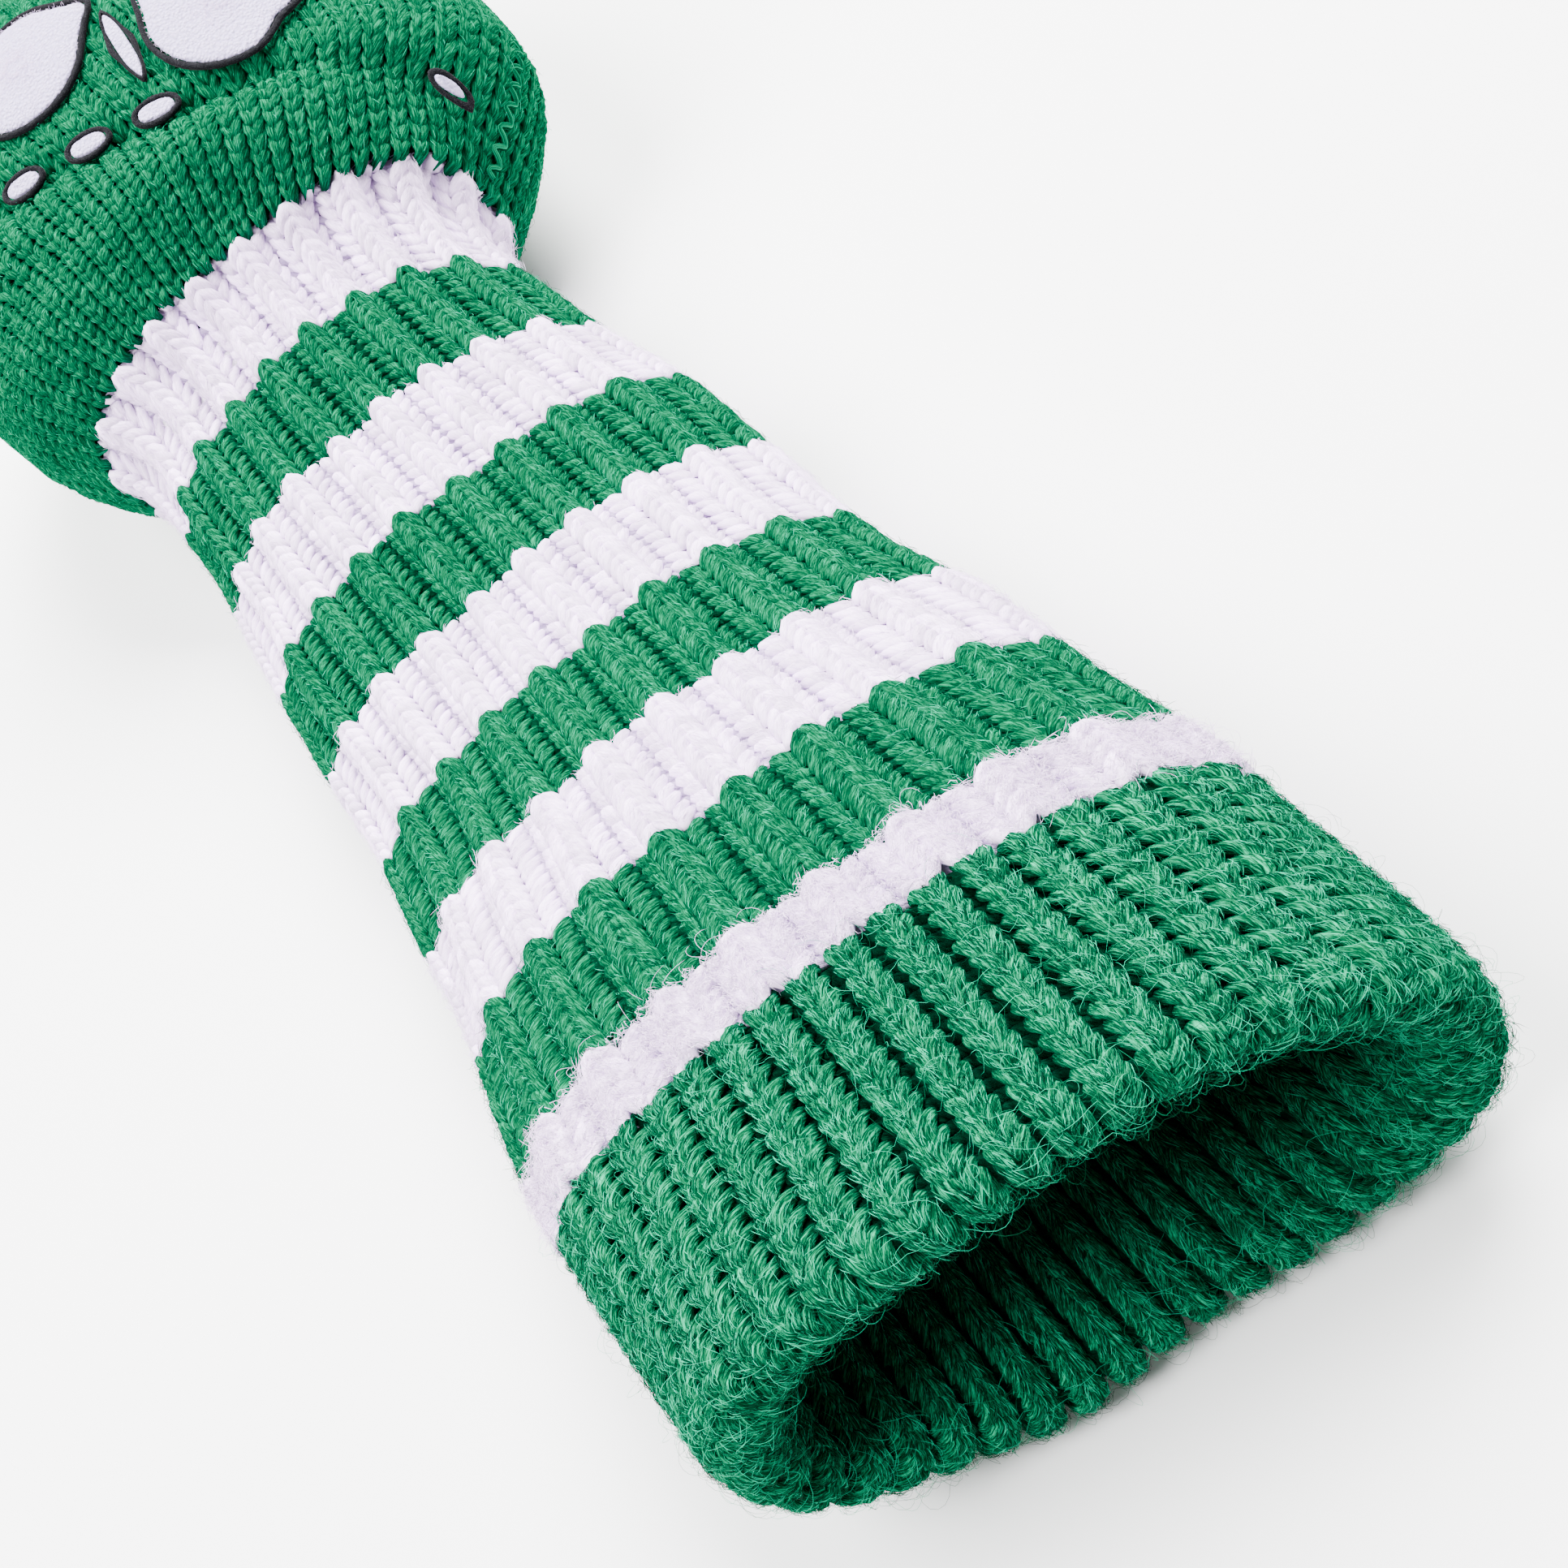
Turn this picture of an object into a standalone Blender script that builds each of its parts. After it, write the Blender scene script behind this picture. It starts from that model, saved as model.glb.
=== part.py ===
"""Knitted driver head cover lying on its back, mouth toward -Y and crown toward +Y.

The cover is one long sock: a turned-in cuff, a striped ribbed sleeve, a pinched neck and a
padded head. Each band of yarn, panel, seam and motif piece is its own closed solid.
Metres, +Z up, origin on the table under the middle of the cover's bounding box.
"""

import math

import bmesh
import bpy

# ---- Driving dimensions, metres -------------------------------------------------------------

CUFF_LENGTH = 0.046          # visible outer cuff, from the mouth to the first white band
NARROW_BAND = 0.013          # white band next to the cuff
STRIPE = 0.0260              # every other stripe of the sleeve
STRIPE_COUNT = 7             # stripes between the narrow band and the neck band
NECK_BAND = 0.022            # white band that runs in under the head's shoulder

CUFF_HALF_WIDTH = 0.057
CUFF_HEIGHT = 0.059
CUFF_END_HEIGHT = 0.0495
SLEEVE_HALF_WIDTH = 0.053
SLEEVE_NEAR_HEIGHT = 0.043   # beside the cuff
SLEEVE_HEIGHT = 0.035        # where the sleeve lies flattest
SLEEVE_FAR_HEIGHT = 0.038
NECK_HALF_WIDTH = 0.045
NECK_HEIGHT = 0.048
SHOULDER_HALF_WIDTH = 0.070
SHOULDER_HEIGHT = 0.069
SHOULDER_SIDE = 0.010        # how far the shoulder's middle lies to the right of the neck's
HEAD_HALF_WIDTH = 0.072
HEAD_HEIGHT = 0.084
HEAD_LENGTH = 0.140

KNIT = 0.0038                # thickness of one layer of rib
LIP_RADIUS = 0.0062          # round edge where the cuff turns in
HEM_DEPTH = 0.043            # how far the turned-in layer reaches
LINING = 0.0024
LINING_CLEARANCE = 0.0012    # between the head's panels and the fleece
GAP = 0.0003                 # clearance between touching pieces
FLAT = 0.0012                # how much of the underside the table presses flat
ROUNDNESS = 2.35             # superellipse exponent of the cross-section
SKEW = -0.17                 # slant of the rows across the sleeve, run per unit of width
LEAN = 0.0092                # the top of a section lies this much nearer the crown than its foot
DRIFT = -0.034               # sideways wander of the sleeve's middle line per unit of length

SEAM_HALF_HEIGHT = 0.0016
ELASTIC_WIDTH = 0.007
ELASTIC_THICKNESS = 0.0012
YARN_RADIUS = 0.0011
CROWN_RADIUS = 0.009

MOTIF_THICKNESS = 0.0012
MOTIF_CLEARANCE = 0.0010     # a motif piece lies this far above the faceted panel
EDGING_WIDTH = 0.0013
LEAF_RADIUS = 0.0150
LEAF_REACH = 0.0259          # from the clover's middle to a leaf's middle
LEAVES = (("right", -63.0), ("top", 57.0), ("left", 177.0))
CLOVER_X = 0.0184            # the clover's middle lies to the right of the head's
STEM_X = 0.0108
STEM_LENGTH = 0.0225
STEM_TURN = -101.0           # degrees from the right
STEM_HALF_WIDTH = 0.0015
DASH_LENGTH = 0.0085
DASH_HALF_WIDTH = 0.0021
DASHES = ((-0.0400, 1.0), (-0.0235, 1.0), (-0.0085, 1.0), (0.0060, 1.0), (0.0540, 0.55))
CREASE_SLANT = -0.42         # the crease runs nearer the mouth on the right

RING_SEGMENTS = 36           # facets around the sleeve
BAND_ROWS = 2                # facets along one stripe
HEAD_ROWS = 16               # facets along the head
PATCH_SPOKES = 26
FILLED_RINGS = ((0.15, 0.0), (0.6, 0.0), (1.0, 0.0))

# ---- Stations along the cover, worked out from the driving dimensions ---------------------------

NECK_START = CUFF_LENGTH + NARROW_BAND + STRIPE_COUNT * STRIPE
HEAD_START = NECK_START + NECK_BAND
TOTAL_LENGTH = HEAD_START + HEAD_LENGTH
SHOULDER_START = HEAD_START + 0.012
CREASE = HEAD_START + 0.025          # fold across the head, between shoulder and motif
CROWN_MIDDLE = 0.045                 # height of the crown's button
CLOVER_Y = CREASE + 0.0358           # middle of the clover
STEM_Y = CREASE + 0.0198
DASH_LINE = CREASE + 0.005           # the dashes cross the head's middle here

# distance from the mouth, half width, height, lift off the table, shift to the right
STATIONS = (
    (0.0, CUFF_HALF_WIDTH, CUFF_HEIGHT, 0.0, 0.0),
    (CUFF_LENGTH, CUFF_HALF_WIDTH + 0.002, CUFF_END_HEIGHT, 0.0, 0.0),
    (CUFF_LENGTH + 1.5 * STRIPE, CUFF_HALF_WIDTH, SLEEVE_NEAR_HEIGHT, 0.0, 0.0),
    (CUFF_LENGTH + 3.5 * STRIPE, SLEEVE_HALF_WIDTH, SLEEVE_HEIGHT, 0.0, 0.0),
    (CUFF_LENGTH + 5.5 * STRIPE, SLEEVE_HALF_WIDTH - 0.002, SLEEVE_FAR_HEIGHT, 0.0, 0.0),
    (NECK_START - 0.3 * STRIPE, NECK_HALF_WIDTH + 0.001, NECK_HEIGHT - 0.002, 0.001, 0.0),
    (HEAD_START - 0.010, NECK_HALF_WIDTH, NECK_HEIGHT + 0.001, 0.004, 0.001),
    (HEAD_START, NECK_HALF_WIDTH + 0.006, NECK_HEIGHT + 0.005, 0.007, 0.002),
    (SHOULDER_START, SHOULDER_HALF_WIDTH - 0.005, SHOULDER_HEIGHT - 0.005, 0.008, 0.008),
    (CREASE, SHOULDER_HALF_WIDTH, SHOULDER_HEIGHT, 0.007, SHOULDER_SIDE),
    (CREASE + 0.040, HEAD_HALF_WIDTH, HEAD_HEIGHT, 0.004, SHOULDER_SIDE - 0.001),
    (TOTAL_LENGTH - 0.038, HEAD_HALF_WIDTH - 0.010, HEAD_HEIGHT, 0.002, SHOULDER_SIDE - 0.003),
    (TOTAL_LENGTH - 0.012, HEAD_HALF_WIDTH - 0.030, HEAD_HEIGHT - 0.030, 0.017, 0.005),
    (TOTAL_LENGTH, CROWN_RADIUS, 2.0 * CROWN_RADIUS, CROWN_MIDDLE - CROWN_RADIUS, 0.004),
)

GREEN = (0.019, 0.300, 0.155)
HEAD_GREEN = (0.016, 0.270, 0.140)
WHITE = (0.86, 0.81, 0.88)
BLACK = (0.012, 0.012, 0.014)
MOTIF_WHITE = (0.78, 0.75, 0.90)
FLEECE = (0.045, 0.160, 0.105)
ELASTIC = (0.75, 0.75, 0.76)


# ---- The cover's surface --------------------------------------------------------------------------

def station_curve(column, position):
    """Value of one station column at a position counted in stations (Catmull-Rom)."""
    last = len(STATIONS) - 1
    index = min(int(position), last - 1)
    fraction = position - index
    before = STATIONS[max(index - 1, 0)][column]
    start = STATIONS[index][column]
    end = STATIONS[index + 1][column]
    after = STATIONS[min(index + 2, last)][column]
    slope_in = 0.5 * (end - before)
    slope_out = 0.5 * (after - start)
    square = fraction * fraction
    cube = square * fraction
    return ((2 * cube - 3 * square + 1) * start + (cube - 2 * square + fraction) * slope_in
            + (3 * square - 2 * cube) * end + (cube - square) * slope_out)


def position_at(distance):
    """Station position whose distance from the mouth is the one given."""
    low = 0.0
    high = float(len(STATIONS) - 1)
    for _ in range(48):
        middle = 0.5 * (low + high)
        if station_curve(0, middle) < distance:
            low = middle
        else:
            high = middle
    return 0.5 * (low + high)


def section(position, inset):
    """Distance, half width, height, lift and middle of the section inset under the surface."""
    step = 0.02
    before = max(position - step, 0.0)
    after = min(position + step, len(STATIONS) - 1.0)
    run = station_curve(0, after) - station_curve(0, before)
    rise = station_curve(1, after) - station_curve(1, before)
    length = math.hypot(run, rise)
    along = inset * rise / length
    inward = inset * run / length
    distance = station_curve(0, position) + along
    half_width = station_curve(1, position) - inward
    height = station_curve(2, position) - 2.0 * inward
    lift = max(station_curve(3, position), 0.0) + inward
    middle = station_curve(4, position) + DRIFT * distance
    return distance, half_width, height, lift, middle


def power(value):
    """Signed superellipse power of a cosine or sine."""
    return math.copysign(abs(value) ** (2.0 / ROUNDNESS), value)


def slant(distance):
    """Skew of the rows, which fades out over the head."""
    fade = (distance - HEAD_START) / (0.4 * HEAD_LENGTH)
    return SKEW * (1.0 - min(max(fade, 0.0), 1.0))


def surface_point(position, angle, inset):
    """Point at an angle around the section: 0 is +X, a quarter turn is the top."""
    distance, half_width, height, lift, middle = section(position, inset)
    across = half_width * power(math.cos(angle))
    swell = 0.5 * (height + FLAT) * (1.0 + power(math.sin(angle))) - FLAT
    rise = max(swell, 0.0)
    along = distance + slant(distance) * across
    if distance < HEAD_START:
        along += LEAN * (rise / height - 0.5)
    else:
        fade = min((distance - HEAD_START) / (0.4 * HEAD_LENGTH), 1.0)
        along += LEAN * (rise / height - 0.5) * (1.0 - fade)
    return (across + middle, along, lift + rise)


def side_angle(position, half_height):
    """Angle above the side line at which the surface has climbed by half_height."""
    height = station_curve(2, position)
    share = min(half_height / (0.5 * height), 0.9)
    return math.asin(share ** (ROUNDNESS / 2.0))


def upper_point(across, distance, level):
    """Point above the upper surface, at a distance across from the section's middle."""
    position = position_at(distance)
    cosine = min(abs(across) / station_curve(1, position), 0.98) ** (ROUNDNESS / 2.0)
    angle = math.acos(math.copysign(cosine, across))
    return surface_point(position, angle, -level)


# ---- Mesh and material helpers ----------------------------------------------------------------------

def fabric(name, color, roughness):
    """Plain cloth material."""
    material = bpy.data.materials.new(name)
    material.use_nodes = True
    shader = material.node_tree.nodes["Principled BSDF"]
    shader.inputs["Base Color"].default_value = (*color, 1.0)
    shader.inputs["Roughness"].default_value = roughness
    shader.inputs["Metallic"].default_value = 0.0
    material.diffuse_color = (*color, 1.0)
    return material


def add_object(name, vertices, faces, material):
    """Closed mesh object with outward faces and smooth shading."""
    mesh = bpy.data.meshes.new(name)
    mesh.from_pydata(vertices, [], faces)
    work = bmesh.new()
    work.from_mesh(mesh)
    bmesh.ops.recalc_face_normals(work, faces=work.faces)
    work.to_mesh(mesh)
    work.free()
    mesh.materials.append(material)
    mesh.shade_smooth()
    mesh.set_sharp_from_angle(angle=math.radians(50.0))
    item = bpy.data.objects.new(name, mesh)
    bpy.context.scene.collection.objects.link(item)
    return item


def sweep_ring(name, profile, material):
    """Closed ring whose cross-section is a closed list of (distance, inset) pairs."""
    count = len(profile)
    vertices = []
    for segment in range(RING_SEGMENTS):
        angle = math.tau * (segment + 0.5) / RING_SEGMENTS
        for distance, inset in profile:
            vertices.append(surface_point(position_at(distance), angle, inset))
    faces = []
    for segment in range(RING_SEGMENTS):
        here = segment * count
        there = ((segment + 1) % RING_SEGMENTS) * count
        for point in range(count):
            following = (point + 1) % count
            faces.append((here + point, there + point, there + following, here + following))
    return add_object(name, vertices, faces, material)


def band_profile(start, end, outer, inner, rows=BAND_ROWS):
    """Rectangle between two distances and two insets."""
    outside = [(start + (end - start) * row / rows, outer) for row in range(rows + 1)]
    inside = [(distance, inner) for distance, _ in reversed(outside)]
    return outside + inside


def band(name, start, end, material):
    """One stripe of the ribbed tube, a gap short at its far end."""
    return sweep_ring(name, band_profile(start, end - GAP, 0.0, KNIT), material)


def shell(name, start, end, outer, inner, low_angle, high_angle, columns, material):
    """Closed strip of a wall between two distances; the angles are functions of position."""
    vertices = []
    first = position_at(start)
    last = position_at(end)
    for inset in (outer, inner):
        for row in range(HEAD_ROWS + 1):
            position = first + (last - first) * row / HEAD_ROWS
            low = low_angle(position)
            high = high_angle(position)
            for column in range(columns + 1):
                angle = low + (high - low) * column / columns
                vertices.append(surface_point(position, angle, inset))
    width = columns + 1
    layer = width * (HEAD_ROWS + 1)
    faces = []
    for row in range(HEAD_ROWS):
        for column in range(columns):
            a = row * width + column
            faces.append((a, a + 1, a + width + 1, a + width))
            faces.append((layer + a, layer + a + width, layer + a + width + 1, layer + a + 1))
    for column in range(columns):
        far = HEAD_ROWS * width + column
        faces.append((column, layer + column, layer + column + 1, column + 1))
        faces.append((far, far + 1, layer + far + 1, layer + far))
    for row in range(HEAD_ROWS):
        for side in (0, columns):
            a = row * width + side
            faces.append((a, a + width, layer + a + width, layer + a))
    return add_object(name, vertices, faces, material)


# ---- Sleeve and cuff ----------------------------------------------------------------------------------

def build_sleeve(green, white):
    """Neck band and the stripes that follow it toward the mouth."""
    band("neck_white_band", NECK_START, HEAD_START, white)
    end = NECK_START
    for stripe in range(STRIPE_COUNT):
        start = end - STRIPE
        number = stripe // 2 + 1
        if stripe % 2 == 0:
            band("sleeve_green_band_%d" % number, start, end, green)
        else:
            band("sleeve_white_band_%d" % (number + 1), start, end, white)
        end = start
    band("sleeve_white_band_5", CUFF_LENGTH, end, white)


def lip_arc(radius, turn, steps=4):
    """Quarter circle of the cuff's turned edge; turn -1 is its outer and +1 its inner half."""
    points = []
    for step in range(steps + 1):
        angle = 0.5 * math.pi * step / steps
        reach = LIP_RADIUS - radius * math.cos(angle)
        depth = LIP_RADIUS + turn * radius * math.sin(angle) + turn * 0.5 * GAP
        points.append((reach, depth))
    return points


def layer_profile(turn, face, back, end):
    """Profile of one layer of the cuff, from its quarter of the lip to its far end."""
    middle = 0.5 * (LIP_RADIUS + end)
    outside = lip_arc(LIP_RADIUS - GAP, turn) + [(middle, face), (end, face)]
    inside = lip_arc(LIP_RADIUS - KNIT, turn) + [(middle, back), (end, back)]
    return outside + inside[::-1]


def build_cuff(green, yarn):
    """Outer cuff, the layer turned in behind it and the stitches that hold its edge."""
    inner_face = 2.0 * LIP_RADIUS
    outer = layer_profile(-1.0, 0.0, KNIT, CUFF_LENGTH - GAP)
    sweep_ring("cuff_outer", outer, green)
    hem = layer_profile(1.0, inner_face, inner_face - KNIT, HEM_DEPTH)
    sweep_ring("cuff_hem", hem, green)
    middle = HEM_DEPTH + GAP + YARN_RADIUS
    depth = KNIT + GAP + YARN_RADIUS
    corners = [math.tau * corner / 6 for corner in range(6)]
    profile = [(middle + YARN_RADIUS * math.cos(a), depth + YARN_RADIUS * math.sin(a))
               for a in corners]
    sweep_ring("hem_stitch", profile, yarn)


def build_neck_elastic(elastic):
    """Elastic ring that draws the neck in, sewn inside the white band."""
    middle = 0.5 * (NECK_START + HEAD_START)
    start = middle - 0.5 * ELASTIC_WIDTH
    outer = KNIT + GAP
    profile = band_profile(start, start + ELASTIC_WIDTH, outer, outer + ELASTIC_THICKNESS, 2)
    sweep_ring("neck_elastic", profile, elastic)


# ---- Head --------------------------------------------------------------------------------------------

def build_head(green, yarn):
    """Two knitted panels, the linked seams between them and the gathered crown."""
    start = HEAD_START
    end = TOTAL_LENGTH - 0.0004
    columns = RING_SEGMENTS // 2

    def above(position):
        return side_angle(position, SEAM_HALF_HEIGHT)

    def within(position):
        return side_angle(position, SEAM_HALF_HEIGHT - GAP)

    shell("head_front_panel", start, end, 0.0, KNIT, above,
          lambda position: math.pi - above(position), columns, green)
    shell("head_back_panel", start, end, 0.0, KNIT,
          lambda position: math.pi + above(position),
          lambda position: math.tau - above(position), columns, green)
    shell("side_seam_right", start, end, GAP, KNIT - GAP,
          lambda position: -within(position), within, 2, yarn)
    shell("side_seam_left", start, end, GAP, KNIT - GAP,
          lambda position: math.pi - within(position),
          lambda position: math.pi + within(position), 2, yarn)
    build_crown(yarn)


def build_crown(yarn):
    """Small domed button of yarn where the crown is drawn shut."""
    radius = CROWN_RADIUS - KNIT - GAP
    work = bmesh.new()
    bmesh.ops.create_uvsphere(work, u_segments=20, v_segments=10, radius=radius)
    mesh = bpy.data.meshes.new("crown_gather")
    work.to_mesh(mesh)
    work.free()
    mesh.materials.append(yarn)
    mesh.shade_smooth()
    item = bpy.data.objects.new("crown_gather", mesh)
    middle = STATIONS[-1][4] + DRIFT * TOTAL_LENGTH
    item.location = (middle, TOTAL_LENGTH - radius, CROWN_MIDDLE)
    bpy.context.scene.collection.objects.link(item)


def build_lining(fleece, binding):
    """Fleece bag inside the head, in two panels, with a binding at the neck."""
    start = HEAD_START + 0.008
    end = TOTAL_LENGTH - 0.014
    outer = KNIT + LINING_CLEARANCE
    inner = outer + LINING
    columns = RING_SEGMENTS // 2

    def above(position):
        return side_angle(position, 2.0 * GAP)

    shell("lining_front", start, end, outer, inner, above,
          lambda position: math.pi - above(position), columns, fleece)
    shell("lining_back", start, end, outer, inner,
          lambda position: math.pi + above(position),
          lambda position: math.tau - above(position), columns, fleece)
    edge = band_profile(HEAD_START - 0.007, HEAD_START - 0.002, outer, outer + LINING, 1)
    sweep_ring("lining_binding", edge, binding)


# ---- Motif on the head -------------------------------------------------------------------------

def leaf_outline(angle):
    """Radius of a leaf: notched at its outer end, drawn out toward the clover's middle."""
    folded = math.atan2(math.sin(angle), math.cos(angle))
    notch = 0.20 * math.exp(-(folded / 0.34) ** 2)
    inward = math.pi - abs(folded)
    point = 0.36 * math.exp(-(inward / 0.22) ** 2)
    return LEAF_RADIUS * (1.0 - notch + point)


def capsule_outline(half_length, half_width):
    """Radius function of a narrow rounded bar."""
    def radius(angle):
        across = abs(math.sin(angle)) / half_width
        along = abs(math.cos(angle)) / half_length
        return (across ** 2.6 + along ** 2.6) ** (-1.0 / 2.6)
    return radius


def patch_points(center, direction, outline, rings, level):
    """Rings of points laid on the head's upper surface; a ring is (share of outline, extra)."""
    points = []
    for share, extra in rings:
        for spoke in range(PATCH_SPOKES):
            angle = math.tau * spoke / PATCH_SPOKES
            reach = outline(angle) * share + extra
            across = center[0] + reach * math.cos(angle + direction)
            distance = center[1] + reach * math.sin(angle + direction)
            points.append(upper_point(across, distance, level))
    return points


def motif_piece(center, direction, outline, rings, filled):
    """Vertices and faces of a thin piece between rings, its middle filled or left open."""
    top = MOTIF_CLEARANCE + MOTIF_THICKNESS
    low = patch_points(center, direction, outline, rings, MOTIF_CLEARANCE)
    high = patch_points(center, direction, outline, rings, top)
    layer = len(low)
    rim = layer - PATCH_SPOKES
    faces = []
    for spoke in range(PATCH_SPOKES):
        following = (spoke + 1) % PATCH_SPOKES
        for ring in range(len(rings) - 1):
            a = ring * PATCH_SPOKES + spoke
            b = ring * PATCH_SPOKES + following
            faces.append((a, b, b + PATCH_SPOKES, a + PATCH_SPOKES))
            faces.append((layer + a, layer + a + PATCH_SPOKES, layer + b + PATCH_SPOKES, layer + b))
        faces.append((rim + spoke, rim + following, layer + rim + following, layer + rim + spoke))
        if not filled:
            faces.append((spoke, following, layer + following, layer + spoke))
    if filled:
        faces.append(tuple(range(PATCH_SPOKES)))
        faces.append(tuple(layer + spoke for spoke in range(PATCH_SPOKES)))
    return low + high, faces


def motif_pair(patch_name, edging_name, center, direction, outline, white, black):
    """One white patch and the stitched edging around it."""
    vertices, faces = motif_piece(center, direction, outline, FILLED_RINGS, True)
    add_object(patch_name, vertices, faces, white)
    edge_rings = ((1.0, GAP), (1.0, GAP + EDGING_WIDTH))
    vertices, faces = motif_piece(center, direction, outline, edge_rings, False)
    add_object(edging_name, vertices, faces, black)


def build_clover(white, black):
    """Three leaves and a stem, each with its own edging."""
    for name, degrees in LEAVES:
        direction = math.radians(degrees)
        center = (CLOVER_X + LEAF_REACH * math.cos(direction),
                  CLOVER_Y + LEAF_REACH * math.sin(direction))
        motif_pair("clover_leaf_" + name, "clover_edging_" + name, center, direction,
                   leaf_outline, white, black)
    half_length = 0.5 * STEM_LENGTH
    center = (STEM_X, STEM_Y)
    outline = capsule_outline(half_length, STEM_HALF_WIDTH)
    motif_pair("clover_stem", "clover_stem_edging", center, math.radians(STEM_TURN), outline,
               white, black)


def build_dashes(white, black):
    """Row of plain stitched dashes along the fold under the clover."""
    turn = math.atan(CREASE_SLANT)
    for number, (across, scale) in enumerate(DASHES, 1):
        outline = capsule_outline(0.5 * DASH_LENGTH * scale, DASH_HALF_WIDTH * scale)
        center = (across, DASH_LINE + CREASE_SLANT * across)
        motif_pair("dash_%d" % number, "dash_edging_%d" % number, center, turn, outline,
                   white, black)


def center_on_origin():
    """Move every piece so that the cover's box is centred on the origin's X and Y."""
    low = [math.inf, math.inf]
    high = [-math.inf, -math.inf]
    items = list(bpy.context.scene.collection.objects)
    for item in items:
        for vertex in item.data.vertices:
            for axis in (0, 1):
                value = vertex.co[axis] + item.location[axis]
                low[axis] = min(low[axis], value)
                high[axis] = max(high[axis], value)
    for item in items:
        for axis in (0, 1):
            item.location[axis] -= 0.5 * (low[axis] + high[axis])


def main():
    for item in list(bpy.data.objects):
        bpy.data.objects.remove(item, do_unlink=True)
    green = fabric("green_rib", GREEN, 0.95)
    head_green = fabric("head_green", HEAD_GREEN, 0.95)
    white = fabric("white_rib", WHITE, 0.95)
    motif_white = fabric("motif_white", MOTIF_WHITE, 0.9)
    black = fabric("motif_black", BLACK, 0.9)
    fleece = fabric("lining_fleece", FLEECE, 1.0)
    elastic = fabric("elastic", ELASTIC, 0.7)
    build_sleeve(green, white)
    build_cuff(green, head_green)
    build_neck_elastic(elastic)
    build_head(head_green, head_green)
    build_lining(fleece, head_green)
    build_clover(motif_white, black)
    build_dashes(motif_white, black)
    center_on_origin()


main()
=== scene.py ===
"""Looks of the knitted driver head cover: every visible loop of yarn is modelled as a tube."""

import math
from typing import NamedTuple

import bmesh
import bpy
import numpy as np
from mathutils import Matrix, Vector


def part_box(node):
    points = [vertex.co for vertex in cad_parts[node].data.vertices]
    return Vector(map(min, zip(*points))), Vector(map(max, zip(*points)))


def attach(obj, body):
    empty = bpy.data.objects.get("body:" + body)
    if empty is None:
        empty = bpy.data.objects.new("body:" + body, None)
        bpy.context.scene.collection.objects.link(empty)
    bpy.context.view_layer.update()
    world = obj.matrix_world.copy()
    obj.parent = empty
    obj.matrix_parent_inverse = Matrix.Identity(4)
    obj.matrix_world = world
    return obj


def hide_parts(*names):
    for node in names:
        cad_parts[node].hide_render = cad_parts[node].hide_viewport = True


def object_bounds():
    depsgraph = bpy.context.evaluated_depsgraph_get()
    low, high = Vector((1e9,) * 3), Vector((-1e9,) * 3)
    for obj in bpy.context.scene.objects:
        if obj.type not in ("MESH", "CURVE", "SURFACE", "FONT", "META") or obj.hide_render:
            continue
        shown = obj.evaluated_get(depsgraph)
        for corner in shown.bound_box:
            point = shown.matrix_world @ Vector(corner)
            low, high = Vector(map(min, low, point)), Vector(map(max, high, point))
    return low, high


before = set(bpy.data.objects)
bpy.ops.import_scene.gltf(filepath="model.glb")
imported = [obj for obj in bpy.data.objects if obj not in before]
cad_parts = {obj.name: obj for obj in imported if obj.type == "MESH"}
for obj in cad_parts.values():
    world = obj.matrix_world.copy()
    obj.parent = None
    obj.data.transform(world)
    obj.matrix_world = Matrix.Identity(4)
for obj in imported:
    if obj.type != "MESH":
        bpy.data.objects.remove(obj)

CAD_LOW, CAD_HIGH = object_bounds()

# ---- Sizes shared with the CAD model, metres ---------------------------------------------------

CUFF_LENGTH = 0.046
NARROW_BAND = 0.013
STRIPE = 0.0260
STRIPE_COUNT = 7
NECK_BAND = 0.022
CUFF_HALF_WIDTH = 0.057
CUFF_HEIGHT = 0.059
CUFF_END_HEIGHT = 0.0495
SLEEVE_HALF_WIDTH = 0.053
SLEEVE_NEAR_HEIGHT = 0.043
SLEEVE_HEIGHT = 0.035
SLEEVE_FAR_HEIGHT = 0.038
NECK_HALF_WIDTH = 0.045
NECK_HEIGHT = 0.048
SHOULDER_HALF_WIDTH = 0.070
SHOULDER_HEIGHT = 0.069
SHOULDER_SIDE = 0.010
HEAD_HALF_WIDTH = 0.072
HEAD_HEIGHT = 0.084
HEAD_LENGTH = 0.140
LIP_RADIUS = 0.0062
HEM_DEPTH = 0.043
FLAT = 0.0012
ROUNDNESS = 2.35
SKEW = -0.17
LEAN = 0.0092
DRIFT = -0.034
CROWN_RADIUS = 0.009

NECK_START = CUFF_LENGTH + NARROW_BAND + STRIPE_COUNT * STRIPE
HEAD_START = NECK_START + NECK_BAND
TOTAL_LENGTH = HEAD_START + HEAD_LENGTH
SHOULDER_START = HEAD_START + 0.012
CREASE = HEAD_START + 0.025
CROWN_MIDDLE = 0.045

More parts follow.
